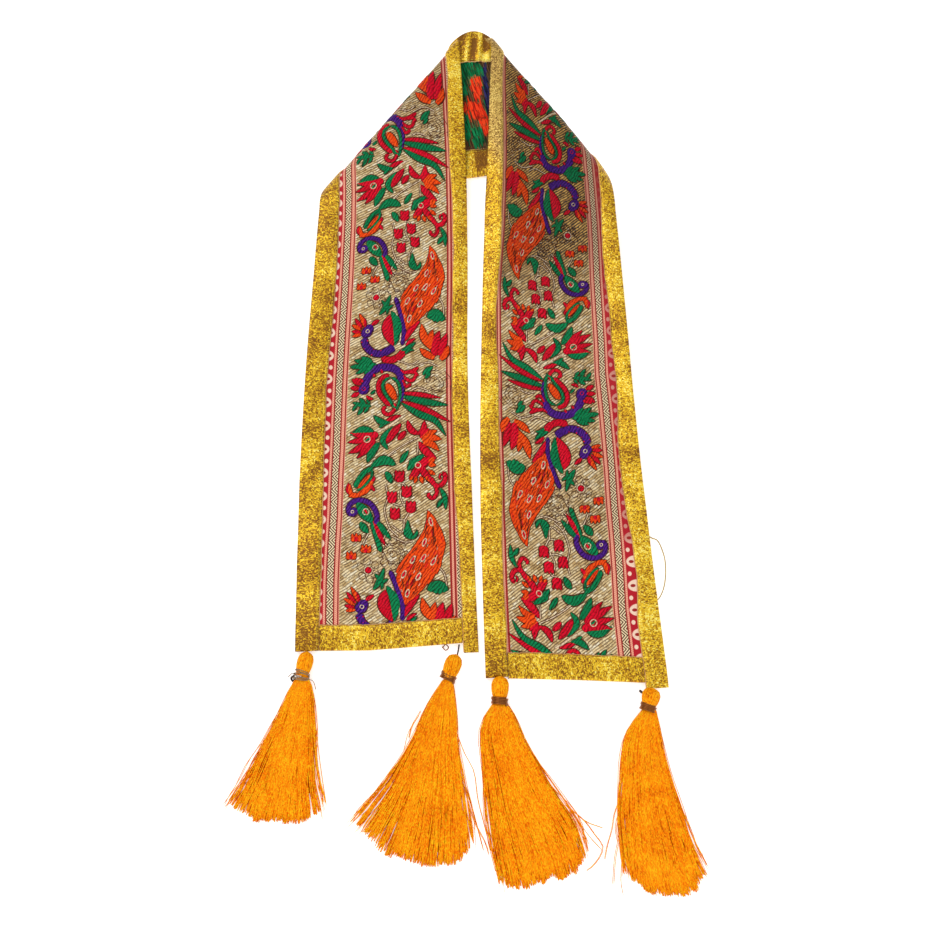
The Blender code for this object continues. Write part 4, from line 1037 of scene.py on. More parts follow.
def float_shapes():
    """each shape of one repeat as (layer, colour, spine (n, 2), half widths (n,), height)"""
    out = []
    loose = np.random.default_rng(17)
    for layer, form, colour, half_width, pts in CHART:
        pts = np.array(pts)
        if form == "ring":
            if colour == "dark" and layer < 2:
                # a loose scribble of short arcs
                for arc in range(3):
                    a0 = loose.uniform(0, 0.9) + arc * 2.1
                    a = a0 + np.linspace(0, loose.uniform(1.4, 2.2), 9)
                    reach = half_width * (1 + loose.uniform(-0.12, 0.12)) + 0.16 * np.sin(a * 5 + a0)
                    spine = pts[0] + reach[:, None] * np.stack([np.cos(a), np.sin(a)], -1)
                    out.append((layer, colour, spine, np.full(9, loose.uniform(0.16, 0.24)), 0.18))
                if half_width > 1.4:
                    for tick in range(int(half_width * 2)):
                        a = loose.uniform(0, 6.28)
                        r0 = half_width * loose.uniform(0.55, 1.1)
                        c0 = pts[0] + r0 * np.array([math.cos(a), math.sin(a)])
                        d = loose.uniform(0, 6.28)
                        spine = c0 + np.linspace(-0.7, 0.7, 5)[:, None] * np.array([math.cos(d), math.sin(d)])
                        out.append((layer, "dark" if loose.random() < 0.5 else "cream", spine, np.full(5, 0.18), 0.16))
                continue
            a = np.linspace(0, 2 * math.pi, 19)
            spine = pts[0] + half_width * np.stack([np.cos(a), np.sin(a)], -1)
            thick = 0.28 if colour == "dark" else 0.36
            out.append((layer, colour, spine, np.full(19, thick), 0.22 if layer < 2 else 0.66))
        elif form == "line":
            spine = catmull(pts, 16)
            length = np.linalg.norm(np.diff(spine, axis=0), axis=1).sum()
            if colour == "dark" and layer < 2 and length > 7.0:
                # a stem: pale thread between two fine dark lines
                out.append((layer, colour, spine, np.full(16, 0.82), 0.10))
                out.append((layer, "cream", spine, np.full(16, 0.36), 0.26))
            else:
                out.append((layer, colour, spine, np.full(16, 0.2), 0.16 if layer < 2 else 0.6))
        else:
            if form == "drop":
                a, b = pts[0], pts[-1]
                mid, d = pts.mean(0), b - a
                n = np.linalg.norm(d)
                d = d / n if n > 0.4 else np.array([1.0, 0.0])
                reach = max(n / 2 + half_width * 0.55, half_width)
                pts = np.array([mid - d * reach, mid, mid + d * reach])
            n = 20 if len(pts) > 4 else 13
            spine = catmull(pts, n)
            t = np.linspace(0, 1, n)
            w = half_width * 1.04 * profile(form, t)
            out.append((layer, colour, spine, w, min(0.62, 0.26 + 0.16 * half_width)))
    left, right = catmull(TAIL[0], 40), catmull(TAIL[1], 40)
    def on_tail(t, s):
        k = np.clip(t, 0, 1) * 39
        i = np.minimum(k.astype(int), 38)
        f = (k - i)[:, None]
        a = left[i] * (1 - f) + left[i + 1] * f
        b = right[i] * (1 - f) + right[i + 1] * f
        return a * (1 - s)[:, None] + b * s[:, None]
    t = np.linspace(0, 1, 30)
    mid = on_tail(t, np.full(30, 0.5))
    wide = np.linalg.norm(on_tail(t, np.full(30, 1.0)) - on_tail(t, np.zeros(30)), axis=1) / 2
    out.append((0, "crimson", mid, wide * 0.9 - 0.3, 0.06))
    rng = np.random.default_rng(3)
    rows = np.linspace(0.0, 0.88, 17)
    for k, t0 in enumerate(rows):
        w = float(np.interp(t0 + 0.09, t, wide)) * 2
        count = max(2, int(round(w / 2.8)))
        for j in range(count):
            s = (j + 0.5 + (0.3 if k % 2 else -0.3)) / count + rng.uniform(-0.03, 0.03)
            s = min(max(s, -0.03), 1.03)
            tt = np.linspace(t0, min(t0 + 0.15 + 0.05 * rng.random(), 1.0), 11)
            drift = s + (0.5 - s) * 0.10 * np.linspace(0, 1, 11)
            spine = on_tail(tt, drift)
            hw = min(1.02, w / count * 0.37) * rng.uniform(0.85, 1.15)
            out.append((1, "orange", spine, hw * profile("petal", np.linspace(0, 1, 11)), 0.36))
    for slit in range(46):
        t0 = rng.uniform(0.06, 0.84)
        s = rng.uniform(0.08, 0.92)
        tt = t0 + np.linspace(0, rng.uniform(0.05, 0.11), 7)
        spine = on_tail(tt, s + (0.5 - s) * 0.06 * np.linspace(0, 1, 7))
        out.append((2, "dark" if slit % 3 else "crimson", spine, 0.34 * profile("leaf", np.linspace(0, 1, 7)), 0.42))
    for speck in range(16):
        spine = on_tail(np.linspace(0, 0.03, 5) + rng.uniform(0.1, 0.85), np.full(5, rng.uniform(0.12, 0.88)))
        out.append((2, "cream", spine, np.full(5, 0.2), 0.5))
    for c, v in EYES:
        k = int(np.argmin(np.linalg.norm(mid - np.array([c, v]), axis=1)))
        d = mid[min(k + 1, 29)] - mid[max(k - 1, 0)]
        d = d / np.linalg.norm(d)
        for colour, reach, hw, lift in (("cream", 2.9, 1.5, 0.62), ("crimson", 2.25, 1.12, 0.64)):
            spine = np.array([c, v]) + d * np.linspace(-reach, reach, 13)[:, None]
            out.append((2 if colour == "cream" else 3, colour, spine, hw * profile("drop", np.linspace(0, 1, 13)), lift))
    return out


SHAPES = float_shapes()


def raised_pattern(half):
    """the pattern's floats as domed shapes on the brocade, each over a fine dark band that paints the shadow round its
    edge
    """
    name = half.name
    shifts = (0.0, PERIOD, 2 * PERIOD) if name == "left" else (PERIOD, 0.0, -PERIOD, -2 * PERIOD)
    reach = (0.0, 372.0) if name == "left" else (-222.0, 164.0)
    parts, faces, mats, thread, chart, toneuv = [], [], [], [], [], []
    off = 0
    rng = np.random.default_rng(11)
    end_of = {round(v, 1): half.station(v, math.pi) for v in np.arange(0.0, WIDTH + 1, 4.0)}
    end_v, end_u = np.array(sorted(end_of)), np.array([end_of[k] for k in sorted(end_of)])
    for shift in shifts:
        for layer, colour, spine, width, height in SHAPES:
            c0 = spine[:, 0] + shift
            if c0.min() < reach[0] or c0.max() > reach[1]:
                if c0.max() < reach[0] or c0.min() > reach[1]:
                    continue
            uu, _ = lay(name, c0, spine[:, 1])
            if uu.max() < 9 or uu.min() > np.interp(spine[:, 1].mean(), end_v, end_u) - 1:
                continue
            tan = np.gradient(spine, axis=0)
            length = np.linalg.norm(tan, axis=1, keepdims=True) + 1e-6
            tan = tan / length
            nor = np.stack([-tan[:, 1], tan[:, 0]], -1)
            along = np.concatenate([[0], np.cumsum(np.linalg.norm(np.diff(spine, axis=0), axis=1))])
            each = rng.random()
            n = len(spine)
            rough = 1 + 0.07 * (rng.random(n) - 0.5)
            layers = []
            # a slightly wider, lower dark band under the shape: painted shadow round the raised float
            if colour == "orange" and height == 0.36:
                layers.append(("dark", width + 0.32, np.array([-1.0, -0.97, 0.0, 0.97, 1.0]), np.array([0.0, 1.0, 1.0, 1.0, 0.0]), 0.05, 0.05))
            if colour not in ("dark", "cream") and not (colour == "orange" and height == 0.36):
                layers.append(("dark", width + 0.36, np.array([-1.0, -0.97, 0.0, 0.97, 1.0]), np.array([0.0, 1.0, 1.0, 1.0, 0.0]), 0.05, 0.05))
            cs = np.array([-1.0, -0.8, -0.42, 0.0, 0.42, 0.8, 1.0])
            layers.append((colour, width * rough, cs, 1 - np.abs(cs) ** 3, height, 0.10))
            for col, w, across, dome, high, foot in layers:
                m = len(across)
                p = spine[:, None, :] + nor[:, None, :] * (across[None, :] * w[:, None])[..., None]
                thin = np.clip(w / max(w.max(), 1e-6), 0, 1) ** 0.6
                h = foot + 0.10 * layer + dome[None, :] * high * thin[:, None]
                h[:, 0] = h[:, -1] = -0.05
                parts.append(np.concatenate([p + np.array([shift, 0.0]), h[..., None]], -1).reshape(-1, 3))
                faces.append(grid_quads(n, m, off))
                mats.append(np.full((n - 1) * (m - 1), FLOAT_ORDER.index(col)))
                thread.append(np.stack([np.broadcast_to(along[:, None], (n, m)), across[None, :] * w[:, None]], -1).reshape(-1, 2) / 100.0)
                chart.append(np.stack([p[..., 1], p[..., 0] + shift], -1).reshape(-1, 2) / 100.0)
                toneuv.append(np.full((n * m, 2), each))
                off += n * m
    flat = np.vstack(parts)
    u, v = lay(name, flat[:, 0], flat[:, 1])
    covered = ((u < hem_line(name, v) + HEM_BAND + 0.8) | (v < bands(name, u, 0) + 0.4)
               | (v > WIDTH - bands(name, u, 1) - 0.4))
    h = CLOTH / 2 + np.where(covered, flat[:, 2] * 0.25, flat[:, 2])
    bend = np.interp(v, end_v, np.array([half.station(k, 0.0) for k in end_v]))
    h = np.where(u > bend - 3.0, CLOTH / 2 + (h - CLOTH / 2) * 0.35, h)
    v = np.clip(v, EDGE + 0.5, WIDTH - EDGE - 0.5)
    u = np.clip(u, 4.0, np.interp(v, end_v, end_u) + 1.5)
    verts = half.at(u, v, h)
    tones = np.vstack(toneuv)
    # the floats take the same painted shade as the ground under them
    tones[:, 0] = painted_shade_of(name, u)
    quads = np.concatenate(faces)
    if half.side > 0:
        quads = quads[:, ::-1]
    ob = link("pattern_%s_leg" % name, verts, quads, [M_FLOAT[c] for c in FLOAT_ORDER],
              [("thread", np.vstack(thread)), ("strip", np.vstack(chart)), ("tone", tones)],
              np.concatenate(mats))
    return place(ob, "brocade")


# ------------------------------------------------------------------ gold ribbon
def cap(off, n):
    return [(off + i, off + i + 1, off + n - 2 - i, off + n - 1 - i) for i in range(n // 2 - 1)]


def ribbon(name, at, along, edge_in, face, back, seen, seed, gather=None, tone=None, along_at=None, tan=None):
    """ribbon folded round an edge.  at(k, a, h) gives the points of row k from a, the
    distances in from the edge, and h; face and back are the widths that it covers on
    each side, seen is +1 where the face side is up and -1 where the reverse is"""
    rng = np.random.default_rng(seed)
    n = len(along)
    wob = np.interp(along, np.linspace(along[0], along[-1], 60), rng.normal(0, 0.16, 60))
    rows, uvs, inward = [], [], []
    m = 9
    for k in range(n):
        f, b = face[k] + wob[k], back[k] - wob[k]
        top, low = (TOP, UNDER) if seen > 0 else (-UNDER, -TOP)
        fa = np.linspace(f, 1.2, m)
        x = (f - fa) / max(f - 1.2, 0.1)
        fh = top - 0.42 * (1 - smooth(x / 0.10)) + (0.22 * np.sin(math.pi * x) ** 0.7 * (0.7 + 0.3 * math.sin(along[k] / 8.0 + seed)) if seen > 0 else 0.0)
        ba = np.linspace(1.2, b, m)
        y = (ba - 1.2) / max(b - 1.2, 0.1)
        bh = low + (0.0 if seen > 0 else 0.42 * smooth((y - 0.9) / 0.1) - 0.15 * np.sin(math.pi * y))
        a = np.concatenate([[f], fa, [0.45, 0.06, 0.0, 0.0, 0.06, 0.45], ba, [b, EDGE, EDGE, f - 0.3]])
        h = np.concatenate([[0.62], fh + 0 * fa, [top - 0.12, top - 0.45, top - 1.0, low + 1.0, low + 0.45, low + 0.12],
                            bh + 0 * ba, [-0.66, -0.66, 0.62, 0.62]])
        if gather is not None:
            d = gather[k] * smooth(a / 3.0)
            h = np.where(h < 0, h - d, h)
        rows.append(at(k, a, h))
        across = np.concatenate([[0.0], f - fa, np.linspace(f - 1.0, f + 1.0, 6), b - ba, [0.0, b, f, 0.3]])
        run = np.full(len(a), along[k]) if along_at is None else along_at(k, a)
        uvs.append(np.stack([run, across], -1) / 100.0)
        inward.append(a)
    rings = np.array(rows)
    q = rings.shape[1]
    verts = rings.reshape(-1, 3)
    faces = np.concatenate([grid_quads(n, q, 0, edge_in < 0, True), np.array(cap(0, q)), np.array(cap((n - 1) * q, q))])
    # tone and tan carry the painted sheen and shade of the ribbon to its material
    tones = np.zeros((n, q, 2))
    if callable(tone):
        tones[..., 0] = np.array([tone(k, inward[k]) for k in range(n)])
    elif tone is not None:
        tones[..., 0] = np.asarray(tone)[:, None]
    if tan is not None:
        tones[..., 1] = np.asarray(tan)[:, None]
    ob = link(name, verts, faces, [M_RIBBON], [("ribbon", np.vstack(uvs)), ("tone", tones.reshape(-1, 2))])
    return ob


def leg_ribbons(half):
    name = half.name
    out = []
    for label, edge, inward, which in (("outer", 0.0, 1.0, 0), ("inner", WIDTH, -1.0, 1)):
        start = BIND_END[name][which]
        s0, s1, s2 = [half.station(edge, t) for t in (None, 0.0, math.pi)]
        us = np.concatenate([np.linspace(start, s0, 110), np.linspace(s0, s1, 90)[1:]])
        turns = np.linspace(0, math.pi, 26)[1:]
        def u_of(k, a, us=us, edge=edge, inward=inward, s1=s1):
            if k < len(us):
                if us[k] < s0:
                    return np.full(len(a), us[k])
                f = (us[k] - s0) / (s1 - s0)
                st = lambda v: (half.station(v, None), half.station(v, 0.0))
                ends = [st(edge + inward * x) for x in (0.0, 25.0)]
                lo = np.interp(a, [0, 25], [ends[0][0], ends[1][0]])
                hi = np.interp(a, [0, 25], [ends[0][1], ends[1][1]])
                return lo + (hi - lo) * f
            t = turns[k - len(us)]
            grid = np.array([0.0, 8.0, 16.0, 25.0])
            return np.interp(a, grid, [half.station(edge + inward * x, t) for x in grid])
        count = len(us) + len(turns)
        along = np.concatenate([us, [half.station(edge, t) for t in turns]])
        # the rows slant with the fold over the climb, so the straight ones before it lean in step by step
        lean0 = np.interp([0, 25.0], [0, 25.0], [half.station(edge, None), half.station(edge + inward * 25.0, None)])
        slope = (lean0[1] - lean0[0]) / 25.0
        def u_true(k, a, start=start, slope=slope):
            if k < len(us) and us[k] < s0:
                return us[k] + slope * a * (us[k] - start) / (s0 - start)
            return u_of(k, a)
        def at(k, a, h, edge=edge, inward=inward, u_true=u_true):
            return half.at(u_true(k, a), edge + inward * a, h)
        face = bands(name, along, which)
        back = np.minimum(20.0, 8.0 + 0 * along + np.clip((along - start - 16.0), 0, 12.0))
        # painted sheen and shade along each ribbon: tone above 0 darker, below 0 brighter; tan a dull patch toward the
        # right fold
        tone, tan = 0.0 * along, 0.0 * along
        if name == "right" and which == 1:
            tan = smooth((along - 318.0) / 30.0)
        if name == "right" and which == 0:
            tone = 0.2 * smooth((along - 230.0) / 60.0) - 0.4 * smooth((92.0 - along) / 10.0)
        if name == "right" and which == 1:
            tone = (0.3 * np.exp(-((along - 236.0) / 26.0) ** 2) + 0.5 * np.exp(-((along - 140.0) / 14.0) ** 2)
                    + 0.35 * smooth((34.0 - along) / 10.0))
        if name == "left" and which == 1:
            tone = 0.4 * np.exp(-((along - 160.0) / 12.0) ** 2)
        if name == "left" and which == 0:
            tone = (0.4 * np.exp(-((along - 139.0) / 7.0) ** 2) + 0.9 * np.exp(-((along - 95.0) / 6.0) ** 2)
                    + 1.0 * np.exp(-((along - 169.0) / 18.0) ** 2) + 0.6 * smooth((74.0 - along) / 5.0)
                    + 0.6 * smooth((along - 214.0) / 10.0))
        ob = ribbon("ribbon_%s_%s" % (label, name), at, along, -inward * half.side, face, back, 1, 5 + which + (2 if name == "left" else 0), tone=tone, along_at=u_true, tan=tan)
        out.append(place(ob, "gold_ribbon", "binding_%s_%s" % (label, name)))
    # ribbon across the hem
    o, i = bands(name, 8.0, 0), bands(name, 8.0, 1)
    va, vb = o - 0.1, WIDTH - i + 0.1
    vs = np.linspace(va, vb, 80)
    h0 = hem_line(name, vs)
    def at_hem(k, a, h):
        return half.at(h0[k] + a, np.full(len(a), vs[k]), h - 0.06)
    ob = ribbon("ribbon_hem_%s" % name, at_hem, vs, half.side, np.full(80, HEM_BAND), np.full(80, HEM_BAND), 1, 21 if name == "left" else 22)
    out.append(place(ob, "gold_ribbon", "hem_band_%s" % name))
    return out


def neck_ribbons():
    out = []
    ws = np.linspace(0, 1, 90)
    for label, edge, inward in (("outer", 0.0, 1.0), ("inner", WIDTH, -1.0)):
        line = NECK.point(ws, np.full(90, edge))
        along = np.concatenate([[0], np.cumsum(np.linalg.norm(np.diff(line, axis=0), axis=1))])
        x = NECK.point(ws, np.full(90, edge - inward * -8.0))[:, 0]
        def bell(value, centre, reach):
            return np.exp(-((value - centre) / reach) ** 2)
        if label == "inner":
            g = 0.85 * (bell(x, -3.0, 1.9) + bell(x, 5.0, 1.9) + 0.7 * bell(x, 11.5, 1.7))
            back = 21.8 + 3.8 * ws
            # dull and bright: painted shade and painted sheen along the inner ribbon
            def tone(k, a, x=x):
                dull = (bell(x[k], -7.6, 3.0) * (1 - smooth((a - 8.0) / 6.0)) + bell(x[k], 1.2, 2.3) * smooth((a - 3.0) / 5.0)
                        + bell(x[k], 9.0, 2.9) * (1 - smooth((a - 13.0) / 5.0)))
                bright = bell(x[k], -3.2, 1.7) * smooth((a - 5.0) / 4.0) + bell(x[k], 5.0, 1.7) + bell(x[k], 10.0, 3.0) * smooth((a - 15.0) / 4.0)
                return 2.8 * dull - 1.6 * bright
        else:
            g = 0.5 * np.exp(-((x + 1.5) / 5.0) ** 2)
            back = np.full(90, 15.9)
            # painted shade and painted sheen along the outer ribbon
            def tone(k, a, x=x):
                return 1.8 * smooth((x[k] - 2.4 + 0.16 * a) / 1.6) * smooth((a - 0.55 * (x[k] - 2.0)) / 2.0) - 0.7 * bell(x[k], -1.5, 3.0)
        def at(k, a, h, edge=edge, inward=inward):
            return NECK.at(np.full(len(a), ws[k]), edge + inward * a, h)
        ob = ribbon("ribbon_%s_neck" % label, at, along, inward, np.full(90, 12.5), back, -1, 31 if inward > 0 else 32, gather=g, tone=tone,
                    along_at=lambda k, a, along=along: along[k] * 1.1 + 0 * a)
        out.append(place(ob, "gold_ribbon", "binding_%s_neck" % label))
    return out


# Reverse of the pattern at the neck: centre and reach in the plan, and thread colour
FLOATS_BACK = [(2.2, 261.0, 4.3, 6.2, "rust"), (3.0, 251.5, 2.3, 6.5, "rust"), (1.0, 243.0, 5.6, 6.8, "rust"),
               (-4.4, 243.3, 3.6, 3.4, "rust"), (6.8, 235.8, 3.6, 6.8, "rust"), (8.8, 229.0, 1.9, 5.4, "rust"),
               (8.5, 263.0, 1.7, 15.0, "navy"), (10.0, 250.0, 1.5, 13.0, "navy"), (-1.0, 272.6, 7.4, 8.2, "green"),
               (-5.6, 262.0, 2.5, 8.5, "green"), (3.2, 222.0, 3.7, 9.5, "green"), (-3.9, 229.0, 2.0, 10.0, "green"),
               (16.0, 262.0, 4.0, 14.0, "green"), (-11.0, 246.0, 4.0, 16.0, "green")]


def neck_floats():
    """long floats on the reverse, nearly upright, leaning with the weave"""
    rng = np.random.default_rng(5)
    order = ["rust", "green", "navy", "dark"]
    lines, mats = [], []
    lean = np.array([0.27, -0.963])
    side = np.array([0.963, 0.27])
    for col in range(86):
        a = (col - 43) * 0.44
        for row in range(14):
            b = (row - 7) * 6.2 + rng.uniform(-2.6, 2.6)
            centre = np.array([2.5, 245.0]) + side * a + lean * b
            if not 205 < centre[1] < 286 or abs(centre[0] - 3) > 17:
                continue
            colour = None
            for x, y, rx, ry, c in FLOATS_BACK:
                if ((centre[0] - x) / rx) ** 2 + ((centre[1] - y) / ry) ** 2 < 1.0 + rng.normal(0, 0.10):
                    colour = c
                    break
            if colour is None:
                if rng.random() < 0.35:
                    continue
                colour = "dark" if rng.random() < 0.86 else "green"
            half_len = rng.uniform(3.0, 4.2)
            t = np.linspace(-1, 1, 7)
            p = centre + lean * (t * half_len)[:, None] + side * (0.12 * np.sin(t * 2 + rng.random() * 6))[:, None]
            z = MID + 0.5 + 0.42 + 0.22 * (1 - t ** 4) * rng.uniform(0.7, 1.3)
            lines.append(np.concatenate([p, z[:, None]], -1))
            mats.append(order.index(colour))
    lines = np.array(lines)
    verts, faces = tubes(lines, np.full(lines.shape[:2], 0.27), 4)
    per = len(faces) // len(lines)
    n = lines.shape[1] * 4
    thread = np.zeros((len(verts), 2))
    thread[:, 0] = np.tile(np.repeat(np.linspace(0, 7.0, lines.shape[1]), 4), len(lines)) / 100.0
    strip = verts[:, :2] / 100.0
    tone = np.stack([np.zeros(len(verts)), np.repeat(rng.random(len(lines)), n)], -1)
    ob = link("floats_neck", verts, faces, [M_BACK[c] for c in order],
              [("thread", thread), ("strip", strip), ("tone", tone)], np.repeat(mats, per))
    return place(ob, "brocade")


# ------------------------------------------------------------------ tassels
# outline of each skirt in the plan: left edge, right edge, and the line of its tips
LEFT_EDGE = {
    1: [(-100.7, -121.9), (-106.1, -134.5), (-112.4, -148.0), (-119.6, -161.3), (-127.7, -175.6), (-135.7, -187.6)],
    2: [(-17.7, -121.9), (-26.5, -137.2), (-33.0, -151.7), (-41.6, -166.1), (-50.1, -178.2), (-66.5, -196.9)],
    3: [(10.3, -134.5), (5.3, -144.2), (4.2, -152.8), (5.8, -169.3), (7.4, -189.7), (10.0, -208.7), (14.4, -228.8)],
    4: [(93.9, -137.2), (86.3, -148.0), (83.2, -156.5), (80.9, -173.5), (79.3, -189.7), (80.3, -206.1), (82.1, -222.3)],
}
RIGHT_EDGE = {
    1: [(-91.9, -118.6), (-89.3, -127.4), (-87.1, -142.1), (-86.6, -155.5), (-84.9, -170.9), (-80.4, -188.6)],
    2: [(-11.0, -119.7), (-9.2, -137.2), (-8.3, -155.5), (-6.3, -167.2), (-2.5, -185.5), (1.4, -207.6)],
    3: [(19.8, -133.4), (25.3, -144.2), (29.6, -154.4), (38.2, -168.2), (47.3, -181.3), (54.2, -190.7), (59.4, -200.0), (62.8, -211.7)],
    4: [(102.8, -137.7), (104.0, -148.0), (106.0, -159.7), (109.0, -172.4), (112.7, -185.5), (116.5, -196.4), (120.7, -208.7), (126.6, -219.8)],
}
TIPS = {
    1: [(-135.7, -187.6), (-127.7, -191.2), (-116.0, -196.4), (-103.4, -196.9), (-93.7, -196.9), (-86.7, -193.8), (-80.4, -188.6)],
    2: [(-66.5, -196.9), (-49.4, -211.2), (-39.6, -215.8), (-30.4, -217.8), (-16.9, -219.3), (-7.3, -216.8), (1.4, -207.6)],
    3: [(14.4, -228.8), (24.3, -229.8), (35.6, -228.8), (39.9, -226.3), (43.2, -224.8), (49.0, -225.8), (55.6, -222.3), (62.8, -211.7)],
    4: [(82.1, -222.3), (92.2, -231.3), (100.7, -233.3), (110.8, -233.3), (119.4, -231.8), (126.6, -219.8)],
}
STRAYS = {
    1: [[(-87.8, -139.9), (-86.0, -152.0), (-83.8, -166.1), (-81.3, -179.9), (-79.8, -187.8)]],
    2: [[(-9.8, -146.9), (-4.5, -160.1), (0.7, -169.9), (2.7, -183.9), (5.7, -195.6), (9.8, -211.0)],
        [(-7.5, -156.1), (-5.2, -172.0), (-1.4, -183.9), (3.0, -199.4), (6.2, -211.0)],
        [(-8.6, -164.1), (-4.1, -179.9), (0.8, -195.6), (6.8, -206.9), (8.9, -213.5)],
        [(-28.8, -137.7), (-33.5, -145.8), (-35.3, -152.3)],
        [(-29.9, -140.4), (-35.4, -149.1), (-38.0, -158.7)]],
    3: [[(51.2, -187.8), (60.6, -195.3), (66.6, -202.9), (70.8, -208.8), (69.3, -213.9), (65.3, -218.9), (61.7, -221.4)],
        [(52.3, -188.3), (61.9, -196.0), (71.0, -199.5)],
        [(54.9, -191.5), (63.2, -203.4), (69.8, -210.5)]],
    4: [[(80.9, -183.4), (77.3, -191.9), (75.6, -200.4), (72.9, -208.8), (71.4, -215.6)],
        [(80.9, -193.7), (79.1, -205.4), (76.9, -215.6), (75.5, -228.8)],
        [(82.6, -198.7), (81.0, -212.2), (79.8, -226.2), (80.9, -233.9)],
        [(81.3, -188.3), (78.2, -198.7), (79.0, -206.9)]],
}
# height of a skirt at shares of its length
SKIRT_HIGH = [(0.0, 6.8), (0.12, 6.6), (0.35, 5.6), (0.7, 4.2), (1.0, 2.6), (1.2, 2.0)]
# top x, y; neck x, y; head width; wrap width
HEADS = {
    1: (-92.9, -105.3, -95.6, -117.4, 9.0, 8.4),
    2: (-8.9, -106.9, -13.5, -118.8, 9.6, 7.4),
    3: (15.6, -118.8, 15.2, -130.6, 9.8, 9.0),
    4: (100.8, -125.4, 98.2, -134.4, 10.2, 8.6),
}
STRANDS = {1: 420, 2: 540, 3: 540, 4: 500}


